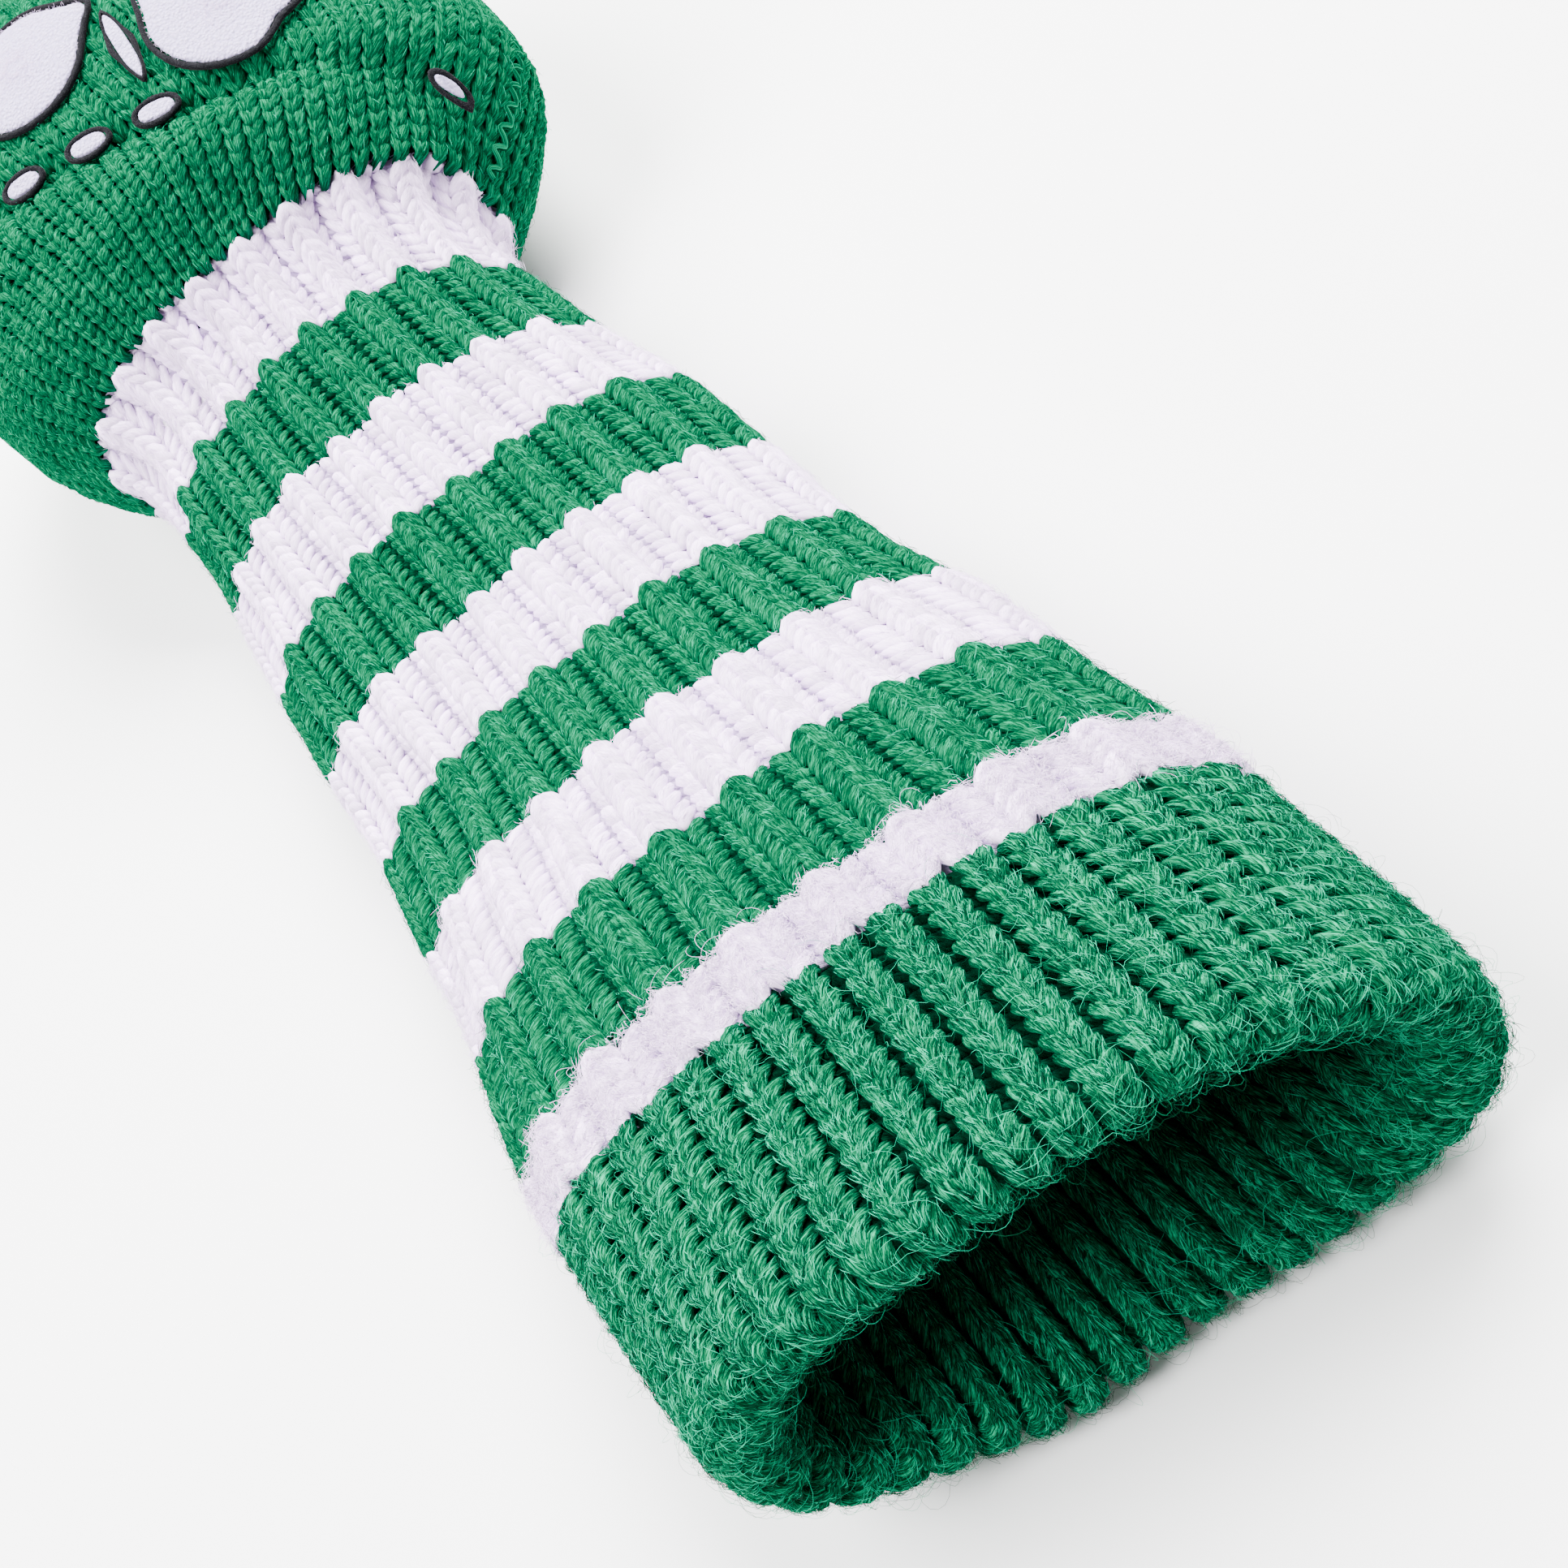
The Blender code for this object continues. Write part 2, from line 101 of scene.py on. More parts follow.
# Distance from the mouth, half width, height, lift off the table, shift to the right.
STATIONS = np.array([
    (0.0, CUFF_HALF_WIDTH, CUFF_HEIGHT, 0.0, 0.0),
    (CUFF_LENGTH, CUFF_HALF_WIDTH + 0.002, CUFF_END_HEIGHT, 0.0, 0.0),
    (CUFF_LENGTH + 1.5 * STRIPE, CUFF_HALF_WIDTH, SLEEVE_NEAR_HEIGHT, 0.0, 0.0),
    (CUFF_LENGTH + 3.5 * STRIPE, SLEEVE_HALF_WIDTH, SLEEVE_HEIGHT, 0.0, 0.0),
    (CUFF_LENGTH + 5.5 * STRIPE, SLEEVE_HALF_WIDTH - 0.002, SLEEVE_FAR_HEIGHT, 0.0, 0.0),
    (NECK_START - 0.3 * STRIPE, NECK_HALF_WIDTH + 0.001, NECK_HEIGHT - 0.002, 0.001, 0.0),
    (HEAD_START - 0.010, NECK_HALF_WIDTH, NECK_HEIGHT + 0.001, 0.004, 0.001),
    (HEAD_START, NECK_HALF_WIDTH + 0.006, NECK_HEIGHT + 0.005, 0.007, 0.002),
    (SHOULDER_START, SHOULDER_HALF_WIDTH - 0.005, SHOULDER_HEIGHT - 0.005, 0.008, 0.008),
    (CREASE, SHOULDER_HALF_WIDTH, SHOULDER_HEIGHT, 0.007, SHOULDER_SIDE),
    (CREASE + 0.040, HEAD_HALF_WIDTH, HEAD_HEIGHT, 0.004, SHOULDER_SIDE - 0.001),
    (TOTAL_LENGTH - 0.038, HEAD_HALF_WIDTH - 0.010, HEAD_HEIGHT, 0.002, SHOULDER_SIDE - 0.003),
    (TOTAL_LENGTH - 0.012, HEAD_HALF_WIDTH - 0.030, HEAD_HEIGHT - 0.030, 0.017, 0.005),
    (TOTAL_LENGTH, CROWN_RADIUS, 2.0 * CROWN_RADIUS, CROWN_MIDDLE - CROWN_RADIUS, 0.004),
])

SEED = 7
RANDOM = np.random.default_rng(SEED)

# Every field of knit as (name, centre lines, radii, yarn), for the loose fibres that lie on it.
LEGS = []


# ---- The cover's surface --------------------------------------------------------------------------

TABLE_ROWS = 90
TABLE_SHARES = 721
TABLE_ANGLES = 2881
SLANT_FADE = 0.4 * HEAD_LENGTH       # the slant of the rows runs out over this much of the head
SWELL_SOFTNESS = 0.0006              # how softly the fabric is pressed flat on the table
STRAND_SOFTNESS = 0.0009             # and each strand


def dense_stations(per_span=120):
    """Catmull-Rom curve through the stations, as one row per sample."""
    rows = []
    last = len(STATIONS) - 1
    for index in range(last):
        before = STATIONS[max(index - 1, 0)]
        start = STATIONS[index]
        end = STATIONS[index + 1]
        after = STATIONS[min(index + 2, last)]
        t = np.linspace(0.0, 1.0, per_span, endpoint=False)[:, None]
        rows.append((2 * t**3 - 3 * t**2 + 1) * start + (t**3 - 2 * t**2 + t) * 0.5 * (end - before)
                    + (3 * t**2 - 2 * t**3) * end + (t**3 - t**2) * 0.5 * (after - start))
    rows.append(STATIONS[-1:])
    return np.concatenate(rows)


class Surface:
    """The cover's outer surface, by meridian length m from the mouth and share u of the way round."""

    def __init__(self):
        dense = dense_stations()
        dense[:, 3] = np.maximum(dense[:, 3], 0.0)
        self.distance, self.width, self.height, self.lift, self.side = dense.T
        steps = np.hypot(np.diff(self.distance), np.diff(self.width))
        self.m = np.concatenate([[0.0], np.cumsum(steps)])
        run = np.gradient(self.distance)
        rise = np.gradient(self.width)
        length = np.hypot(run, rise)
        self.n_along = rise / length
        self.n_inward = run / length
        self.make_angles()

    def make_angles(self):
        """Table of section angles at even shares of the way round."""
        self.table_m = np.linspace(0.0, self.m[-1], TABLE_ROWS)
        self.shares = np.linspace(0.0, 1.0, TABLE_SHARES)
        angle = np.linspace(-0.5 * np.pi, 1.5 * np.pi, TABLE_ANGLES)
        a = np.interp(self.table_m, self.m, self.width)[:, None]
        b = 0.5 * np.interp(self.table_m, self.m, self.height)[:, None]
        x = a * power(np.cos(angle))
        z = b * power(np.sin(angle))
        arc = np.hypot(np.diff(x, axis=1), np.diff(z, axis=1)).cumsum(axis=1)
        arc = np.concatenate([np.zeros((len(a), 1)), arc], axis=1)
        self.perimeters = arc[:, -1]
        self.angles = np.array([np.interp(self.shares * row[-1], row, angle) for row in arc])

    def m_at(self, distance):
        return np.interp(distance, self.distance, self.m)

    def perimeter(self, m):
        return np.interp(m, self.table_m, self.perimeters)

    def angle(self, m, u):
        """Section angle at share u of the way round, by bilinear lookup."""
        turn = np.floor(u)
        share = (u - turn) * (len(self.shares) - 1)
        column = np.clip(share.astype(int), 0, len(self.shares) - 2)
        across = share - column
        way = np.clip(m / self.table_m[-1], 0.0, 1.0) * (len(self.table_m) - 1)
        row = np.clip(way.astype(int), 0, len(self.table_m) - 2)
        down = way - row
        table = self.angles
        low = table[row, column] * (1 - across) + table[row, column + 1] * across
        high = table[row + 1, column] * (1 - across) + table[row + 1, column + 1] * across
        return low * (1 - down) + high * down + turn * 2.0 * np.pi

    def point(self, m, u, inset):
        """World point at depth inset under the surface."""
        m, u, inset = np.broadcast_arrays(np.asarray(m, float), np.asarray(u, float),
                                          np.asarray(inset, float))
        along = inset * np.interp(m, self.m, self.n_along)
        inward = inset * np.interp(m, self.m, self.n_inward)
        beyond = np.minimum(m, 0.0)
        distance = np.interp(m, self.m, self.distance) + along + beyond
        width = np.interp(m, self.m, self.width) - inward
        height = np.interp(m, self.m, self.height) - 2.0 * inward
        lift = np.interp(m, self.m, self.lift) + inward
        angle = self.angle(m, u)
        across = width * power(np.cos(angle))
        swell = 0.5 * (height + FLAT) * (1.0 + power(np.sin(angle))) - FLAT
        rise = soft_floor(swell, SWELL_SOFTNESS)
        fade = 1.0 - np.clip((distance - HEAD_START) / SLANT_FADE, 0.0, 1.0)
        y = distance + SKEW * fade * across + LEAN * fade * (rise / np.maximum(height, 0.01) - 0.5)
        x = across + DRIFT * distance + np.interp(m, self.m, self.side)
        return np.stack([x + SHIFT_X, y + SHIFT_Y, lift + rise], axis=-1)


def power(value):
    """Signed superellipse power of a cosine or sine."""
    return np.sign(value) * np.abs(value) ** (2.0 / ROUNDNESS)


def soft_floor(value, softness):
    """Presses heights below zero up to the table without a sharp corner."""
    return 0.5 * (value + np.sqrt(value * value + softness * softness))


def unit(vectors):
    """Vectors of length one."""
    return vectors / np.maximum(np.linalg.norm(vectors, axis=-1, keepdims=True), 1e-12)


SHIFT_Y = CAD_HIGH.y - TOTAL_LENGTH
CROWN_LOW, CROWN_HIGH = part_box("crown_gather")
SHIFT_X = 0.5 * (CROWN_LOW.x + CROWN_HIGH.x) - DRIFT * TOTAL_LENGTH - STATIONS[-1, 4]
COVER = Surface()


# ---- Materials ------------------------------------------------------------------------------------

SHEEN_ROUGHNESS = 0.45
HAIR_GLOSS = 0.03


def new_material(name):
    material = bpy.data.materials.new(name)
    material.use_nodes = True
    return material, material.node_tree, material.node_tree.nodes["Principled BSDF"]


def set_cloth(shader, color, roughness, sheen, sheen_tint, gloss=0.0):
    shader.inputs["Base Color"].default_value = (*color, 1.0)
    shader.inputs["Roughness"].default_value = roughness
    shader.inputs["Specular IOR Level"].default_value = gloss
    shader.inputs["Sheen Weight"].default_value = sheen
    shader.inputs["Sheen Roughness"].default_value = SHEEN_ROUGHNESS
    shader.inputs["Sheen Tint"].default_value = (*sheen_tint, 1.0)


def add_node(tree, kind, **settings):
    node = tree.nodes.new(kind)
    for name, value in settings.items():
        setattr(node, name, value)
    return node


def ramp_node(tree, stops):
    """Colour ramp with the given (position, colour) stops."""
    ramp = add_node(tree, "ShaderNodeValToRGB")
    band = ramp.color_ramp
    while len(band.elements) > 1:
        band.elements.remove(band.elements[-1])
    band.elements[0].position = stops[0][0]
    band.elements[0].color = (*stops[0][1], 1.0)
    for position, color in stops[1:]:
        band.elements.new(position).color = (*color, 1.0)
    return ramp


def yarn_material(name, dark, middle, light, sheen, sheen_tint, relief=0.00012):
    """Spun yarn: fine fibre streaks that follow each strand, over tones that differ by strand."""
    material, tree, shader = new_material(name)
    set_cloth(shader, middle, 0.92, sheen, sheen_tint)
    fibre = add_node(tree, "ShaderNodeAttribute", attribute_name="fibre")
    tone = add_node(tree, "ShaderNodeAttribute", attribute_name="tone")
    streak = add_node(tree, "ShaderNodeTexNoise")
    streak.inputs["Scale"].default_value = 3.4
    streak.inputs["Detail"].default_value = 3.0
    streak.inputs["Roughness"].default_value = 0.65
    tree.links.new(fibre.outputs["Vector"], streak.inputs["Vector"])
    ramp = ramp_node(tree, [(0.36, dark), (0.50, middle), (0.64, light)])
    tree.links.new(streak.outputs["Fac"], ramp.inputs["Fac"])
    shade = add_node(tree, "ShaderNodeMix", data_type="RGBA", blend_type="MULTIPLY")
    shade.inputs["Factor"].default_value = 1.0
    tree.links.new(ramp.outputs["Color"], shade.inputs["A"])
    level = ramp_node(tree, [(0.0, (0.72, 0.72, 0.72)), (1.0, (1.12, 1.12, 1.12))])
    tree.links.new(tone.outputs["Fac"], level.inputs["Fac"])
    tree.links.new(level.outputs["Color"], shade.inputs["B"])
    tree.links.new(shade.outputs["Result"], shader.inputs["Base Color"])
    bump = add_node(tree, "ShaderNodeBump")
    bump.inputs["Strength"].default_value = 0.9
    bump.inputs["Distance"].default_value = relief
    tree.links.new(streak.outputs["Fac"], bump.inputs["Height"])
    tree.links.new(bump.outputs["Normal"], shader.inputs["Normal"])
    return material


def ground_material(name, dark, light, sheen_tint):
    """Back of the knit seen between the stitches: small purl loops, row by row."""
    material, tree, shader = new_material(name)
    set_cloth(shader, light, 0.97, 0.05, sheen_tint)
    lay = add_node(tree, "ShaderNodeAttribute", attribute_name="fibre")
    loops = add_node(tree, "ShaderNodeTexVoronoi")
    loops.inputs["Scale"].default_value = 1.0
    tree.links.new(lay.outputs["Vector"], loops.inputs["Vector"])
    fuzz = add_node(tree, "ShaderNodeTexNoise")
    fuzz.inputs["Scale"].default_value = 6.0
    fuzz.inputs["Detail"].default_value = 3.0
    tree.links.new(lay.outputs["Vector"], fuzz.inputs["Vector"])
    height = add_node(tree, "ShaderNodeMath", operation="MULTIPLY_ADD")
    tree.links.new(fuzz.outputs["Fac"], height.inputs[0])
    height.inputs[1].default_value = 0.5
    tree.links.new(loops.outputs["Distance"], height.inputs[2])
    # The colour darkens with the same height that the bump presses in, so the gaps between the loops
    # are darker: painted shade over the loop pattern.
    ramp = ramp_node(tree, [(0.25, light), (0.95, dark)])
    tree.links.new(height.outputs["Value"], ramp.inputs["Fac"])
    tree.links.new(ramp.outputs["Color"], shader.inputs["Base Color"])
    bump = add_node(tree, "ShaderNodeBump", invert=True)
    bump.inputs["Strength"].default_value = 1.0
    bump.inputs["Distance"].default_value = 0.0008
    tree.links.new(height.outputs["Value"], bump.inputs["Height"])
    tree.links.new(bump.outputs["Normal"], shader.inputs["Normal"])
    return material


def hair_material(name, color, sheen_tint):
    """Loose fibre in one shade."""
    material, _, shader = new_material(name)
    set_cloth(shader, color, 0.7, 0.08, sheen_tint, HAIR_GLOSS)
    return material


def hair_shades(name, colors, sheen_tint):
    """The shades of one yarn's loose fibres, darkest first."""
    return [hair_material("%s_%d" % (name, index), color, sheen_tint)
            for index, color in enumerate(colors)]


GREEN_SHEEN = (0.0, 0.9, 0.5)
WHITE_SHEEN = (1.0, 0.94, 1.0)
GREEN_YARN = yarn_material("green_yarn", (0.000, 0.010, 0.004), (0.000, 0.056, 0.021),
                           (0.000, 0.31, 0.145), 0.02, GREEN_SHEEN)
SOFT_GREEN_YARN = yarn_material("soft_green_yarn", (0.000, 0.022, 0.008), (0.000, 0.058, 0.023),
                                (0.000, 0.18, 0.080), 0.02, GREEN_SHEEN)
WHITE_YARN = yarn_material("white_yarn", (0.70, 0.54, 0.80), (0.82, 0.655, 0.92),
                           (0.92, 0.76, 1.0), 0.10, WHITE_SHEEN, 0.00006)
# The backs of the knit are the same yarns coloured darker, lavender-grey under the white: painted
# shade for the fabric seen in the gaps between stitches, at the bottom of the rib valleys and under
# the crown's strands.
GREEN_GROUND_PAINTED_SHADE = ground_material("green_back_painted_shade", (0.0, 0.014, 0.006), (0.0, 0.050, 0.021), GREEN_SHEEN)
WHITE_GROUND_PAINTED_SHADE = ground_material("white_back_painted_shade", (0.44, 0.33, 0.54), (0.72, 0.57, 0.84), WHITE_SHEEN)
FLEECE = ground_material("green_fleece", (0.0, 0.010, 0.005), (0.0, 0.040, 0.020), GREEN_SHEEN)
WEBBING = ground_material("elastic_webbing", (0.40, 0.38, 0.42), (0.72, 0.70, 0.74), WHITE_SHEEN)
SATIN = yarn_material("black_satin", (0.003, 0.003, 0.004), (0.008, 0.008, 0.010),
                      (0.030, 0.030, 0.034), 0.05, WHITE_SHEEN, 0.00005)
FELT = ground_material("white_felt", (0.62, 0.54, 0.86), (0.78, 0.69, 0.98), WHITE_SHEEN)
GREEN_HAIR = hair_shades("green_fibre", ((0.0, 0.010, 0.004), (0.0, 0.042, 0.016),
                                         (0.0, 0.13, 0.055), (0.0, 0.42, 0.22)), GREEN_SHEEN)
WHITE_HAIR = hair_shades("white_fibre", ((0.74, 0.59, 0.82), (0.90, 0.74, 0.97)), WHITE_SHEEN)


# ---- Mesh building --------------------------------------------------------------------------------

YARN_FLATNESS = 0.80                 # a strand is flatter than it is wide
YARN_TOP = 0.86                      # height of its top over its centre, as a share of the radius
PLY_RELIEF = 0.07                    # how far its two plies stand out, as a share of the radius
PLY_START = 6.3                      # range of angles at which the plies start, radians
PLY_TURN = 2.2                       # turn of the plies along a strand, radians
STREAK_AROUND = 1.5                  # size of a strand in the yarn material's noise, round it
STREAK_ALONG = 0.9                   # and along it
STREAK_APART = 60.0                  # range of places in the noise that strands are given
THIRD_TURN = 2.0944                  # radians between the three edges of a fibre


def new_object(name, data):
    """Object that is linked to the scene."""
    item = bpy.data.objects.new(name, data)
    bpy.context.scene.collection.objects.link(item)
    return item


def mesh_object(name, vertices, groups, material_index, materials, attributes):
    """Smooth mesh object from arrays. groups are face index arrays, one per corner count."""
    mesh = bpy.data.meshes.new(name)
    vertices = np.array(vertices, dtype=np.float32)
    vertices[:, 2] = soft_floor(vertices[:, 2], STRAND_SOFTNESS)
    loops = np.concatenate([faces.ravel() for faces in groups]).astype(np.int32)
    totals = np.concatenate([np.full(len(faces), faces.shape[1]) for faces in groups])
    totals = totals.astype(np.int32)
    starts = np.concatenate([[0], np.cumsum(totals)[:-1]]).astype(np.int32)
    mesh.vertices.add(len(vertices))
    mesh.vertices.foreach_set("co", vertices.ravel())
    mesh.loops.add(len(loops))
    mesh.loops.foreach_set("vertex_index", loops)
    mesh.polygons.add(len(totals))
    mesh.polygons.foreach_set("loop_start", starts)
    mesh.polygons.foreach_set("loop_total", totals)
    mesh.polygons.foreach_set("material_index", material_index.astype(np.int32))
    for material in materials:
        mesh.materials.append(material)
    mesh.update(calc_edges=True)
    mesh.shade_smooth()
    for key, values in attributes.items():
        kind = "FLOAT_VECTOR" if values.ndim == 2 else "FLOAT"
        attribute = mesh.attributes.new(key, kind, "POINT")
        field = "vector" if values.ndim == 2 else "value"
        attribute.data.foreach_set(field, np.ascontiguousarray(values, np.float32).ravel())
    item = new_object(name, mesh)
    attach(item, "root")
    return item


def tube_faces(count, rings, sides):
    """Quads along closed tubes and the polygons that cap their ends."""
    base = (np.arange(count) * rings * sides)[:, None, None]
    ring = (np.arange(rings - 1) * sides)[None, :, None]
    side = np.arange(sides)[None, None, :]
    following = ((np.arange(sides) + 1) % sides)[None, None, :]
    quads = np.stack([base + ring + side, base + ring + sides + side,
                      base + ring + sides + following, base + ring + following], axis=-1)
    first = base[:, 0] + np.arange(sides)[None, :]
    last = base[:, 0] + (rings - 1) * sides + np.arange(sides)[None, ::-1]
    return quads.reshape(-1, 4), np.concatenate([first, last])


def tube_points(centres, radii, outward, sides, twist):
    """Rings of a yarn of two plies round each centre line, and the angle of each point."""
    tangent = unit(np.gradient(centres, axis=1))
    side = unit(np.cross(tangent, outward))
    up = np.cross(side, tangent)
    rings = centres.shape[1]
    phi = np.linspace(0.0, 2.0 * np.pi, sides, endpoint=False)[None, None, :]
    turn = twist[:, None, None] + PLY_TURN * np.linspace(0.0, 1.0, rings)[None, :, None]
    reach = radii[:, :, None] * (1.0 + PLY_RELIEF * np.cos(2.0 * (phi - turn)))
    points = (centres[:, :, None, :]
              + (reach * np.cos(phi) * YARN_FLATNESS)[..., None] * up[:, :, None, :]
              + (reach * np.sin(phi))[..., None] * side[:, :, None, :])
    return points, phi - turn


def yarn_object(name, centres, radii, outward, material, sides):
    """Closed strands of yarn with the attributes that the yarn material reads."""
    count, rings, _ = centres.shape
    twist = RANDOM.uniform(0.0, PLY_START, count)
    points, phi = tube_points(centres, radii, outward, sides, twist)
    quads, caps = tube_faces(count, rings, sides)
    along = np.broadcast_to(np.linspace(0.0, STREAK_ALONG, rings)[None, :, None], phi.shape)
    identity = RANDOM.uniform(0.0, STREAK_APART, count)[:, None, None]
    fibre = np.stack([STREAK_AROUND * np.cos(phi), STREAK_AROUND * np.sin(phi), along + identity],
                     axis=-1)
    tone = np.broadcast_to(RANDOM.uniform(0.0, 1.0, count)[:, None, None], phi.shape)
    index = np.zeros(len(quads) + len(caps))
    return mesh_object(name, points.reshape(-1, 3), [quads, caps], index, [material],
                       {"fibre": fibre.reshape(-1, 3), "tone": tone.ravel()})


def fibre_object(name, paths, radius, materials, painted_valley_shade=None):
    """Fine closed fibres, three-sided and pointed; the marked ones, which lie down in the valleys,
    take the darker shades as a painted shade.
    """
    count, steps, _ = paths.shape
    rings = steps - 2
    tangent = unit(np.gradient(paths, axis=1))
    helper = unit(RANDOM.normal(size=(count, 1, 3)))
    side = unit(np.cross(tangent, np.broadcast_to(helper, tangent.shape)))
    up = np.cross(side, tangent)
    phi = (THIRD_TURN * np.arange(3))[None, None, :, None]
    middle = slice(1, steps - 1)
    around = np.cos(phi) * side[:, middle, None, :] + np.sin(phi) * up[:, middle, None, :]
    body = paths[:, middle, None, :] + radius[:, None, None, None] * around
    points = np.concatenate([paths[:, :1], body.reshape(count, rings * 3, 3), paths[:, -1:]], axis=1)
    size = rings * 3 + 2
    base = (np.arange(count) * size)[:, None]
    corner = np.arange(3)
    following = (corner + 1) % 3
    start = np.stack([np.zeros(3, int), 1 + following, 1 + corner], axis=-1)
    tail = 1 + (rings - 1) * 3
    finish = np.stack([np.full(3, size - 1), tail + corner, tail + following], axis=-1)
    triangles = (base[:, :, None] + np.concatenate([start, finish])[None]).reshape(-1, 3)
    ring = (1 + 3 * np.arange(rings - 1))[:, None]
    quads = np.stack([ring + corner, ring + following, ring + 3 + following, ring + 3 + corner],
                     axis=-1).reshape(-1, 4)
    quads = (base[:, :, None] + quads[None]).reshape(-1, 4)
    shade = RANDOM.integers(0, len(materials), count)
    # Painted shade: the fibres marked as lying in the valleys take one of the two darkest shades.
    if painted_valley_shade is not None:
        shade = np.where(painted_valley_shade, np.minimum(shade, 1), shade)
    index = np.concatenate([np.repeat(shade, len(quads) // count),
                            np.repeat(shade, len(triangles) // count)])
    mesh_object(name, points.reshape(-1, 3), [quads, triangles], index, materials, {})


# ---- The wrapped cuff and the ribs ----------------------------------------------------------------

LIP_START = float(COVER.m_at(LIP_RADIUS))
LIP_ARC = math.pi * LIP_RADIUS
HEM_END = LIP_START - LIP_ARC - (HEM_DEPTH - LIP_RADIUS)
M_CUFF = float(COVER.m_at(CUFF_LENGTH))
M_HEAD = float(COVER.m_at(HEAD_START))
M_NECK = float(COVER.m_at(NECK_START))

WALES = 40                           # columns of knit round the cuff and sleeve
HEAD_WALES = 68                      # and round the head
HEM_RIB = 0.0022                     # depths of the valleys between ribs: inside the mouth,
CUFF_RIB = 0.0024                    # added to that on the cuff's outer side,
SLEEVE_RIB = 0.0032                  # on the sleeve,
NECK_RIB = 0.0014                    # added to that at the neck,
HEAD_RIB = 0.0027                    # and on the head
RIB_SHARPNESS = 2.1
HEAD_RIB_SHARPNESS = 2.4
CREASE_SLANT = -0.42
CREASE_LINE = CREASE + 0.005
GROOVE_DEPTH = 0.0028                # the crease itself
GROOVE_WIDTH = 0.0040
ROLL_HEIGHT = 0.0020                 # the rolled-up knit before it
ROLL_BEFORE = 0.013
ROLL_WIDTH = 0.008
# Height, waves round the cover, waves along it in radians per metre, and phase.
RIPPLES = ((0.00045, 3.0, 61.0, 0.6), (0.00035, 5.0, -97.0, 0.0), (0.0003, 8.0, 140.0, 2.0))


def place(q, u, depth):
    """Point at length q along the fabric, which wraps round the lip to the hem when q is small."""
    q, u, depth = np.broadcast_arrays(np.asarray(q, float), np.asarray(u, float),
                                      np.asarray(depth, float))
    theta = np.clip((LIP_START - q) / LIP_RADIUS, 0.0, np.pi)
    beyond = np.maximum(LIP_START - LIP_ARC - q, 0.0)
    reach = LIP_RADIUS - depth
    distance = LIP_RADIUS - reach * np.sin(theta) + beyond
    inset = LIP_RADIUS - reach * np.cos(theta)
    wrapped = q < LIP_START
    m = np.where(wrapped, COVER.m_at(distance) + np.minimum(distance, 0.0), q)
    return COVER.point(m, u, np.where(wrapped, inset, depth))


def outward_of(q, u):
    """Unit normal that points away from the fabric's outer face."""
    along = place(q + 0.0006, u, 0.0) - place(q - 0.0006, u, 0.0)
    around = place(q, u + 0.0008, 0.0) - place(q, u - 0.0008, 0.0)
    return unit(np.cross(around, along))


def ripple(q, u):
    """Gentle unevenness of the hand-laid fabric, metres; the padded head is tauter."""
    turn = 2.0 * np.pi * u
    wave = sum(height * np.sin(around * turn + along * q + phase)
               for height, around, along, phase in RIPPLES)
    return wave * (1.0 - 0.75 * np.clip((q - M_HEAD) / 0.015, 0.0, 1.0))


def valley(u, count, sharpness):
    """0 on the crown of each rib and 1 in the middle of each valley."""
    return np.abs(2.0 * ((u * count) % 1.0 - 0.5)) ** sharpness


def past_crease(q, u):
    """How far a point of the head lies past the slanted crease, and how much it faces up."""
    angle = COVER.angle(q, u)
    across = np.interp(q, COVER.m, COVER.width) * power(np.cos(angle))
    distance = np.interp(q, COVER.m, COVER.distance)
    return distance - CREASE_LINE - CREASE_SLANT * across, np.clip(np.sin(angle) / 0.5, 0.0, 1.0)


def head_depth(q, u):
    """Ribs of the head, rolled up before the crease and nearly flat behind it."""
    past, upper = past_crease(q, u)
    groove = GROOVE_DEPTH * np.exp(-(past / GROOVE_WIDTH) ** 2)
    roll = ROLL_HEIGHT * np.exp(-((past + ROLL_BEFORE) / ROLL_WIDTH) ** 2)
    flat = upper * np.clip(past / 0.006, 0.0, 1.0)
    crown = np.clip((COVER.m_at(TOTAL_LENGTH - 0.030) - q) / 0.02, 0.0, 1.0)
    ribs = HEAD_RIB * valley(u, HEAD_WALES, HEAD_RIB_SHARPNESS)
    return ribs * crown * (1.0 - 0.75 * flat) + (groove - roll) * upper


def rib_depth(q, u):
    """Depth of the rib relief: the valleys between ribs lie deeper than their crowns."""
    lip = np.clip((q + 0.002) / 0.014, 0.0, 1.0)
    cuff = (HEM_RIB + CUFF_RIB * lip) * valley(u, WALES, RIB_SHARPNESS)
    neck = np.clip((q - M_NECK + 0.010) / 0.02, 0.0, 1.0)
    sleeve = (SLEEVE_RIB + NECK_RIB * neck) * valley(u, WALES // 2, RIB_SHARPNESS)
    return (np.where(q < M_CUFF, cuff, np.where(q < M_HEAD, sleeve, head_depth(q, u)))
            + ripple(q, u))


# ---- Stitches -------------------------------------------------------------------------------------

class Stitch(NamedTuple):
    """One kind of knit stitch, which is two legs of yarn; lengths in metres."""

    row: float                       # height of a row
    radius: float                    # of the yarn
    rings: int                       # points along a leg
    sides: int                       # points round a leg
    share: float                     # width of a stitch as a share of its column
    sink: float                      # how deep the ends of a leg dip
    lean: float = 0.33               # how far a leg leans outward, as a share of the stitch
    tip: float = 0.55                # thickness of a leg's ends as a share of its middle
    roomy: float = 0.285             # way round at which the yarn has its full radius


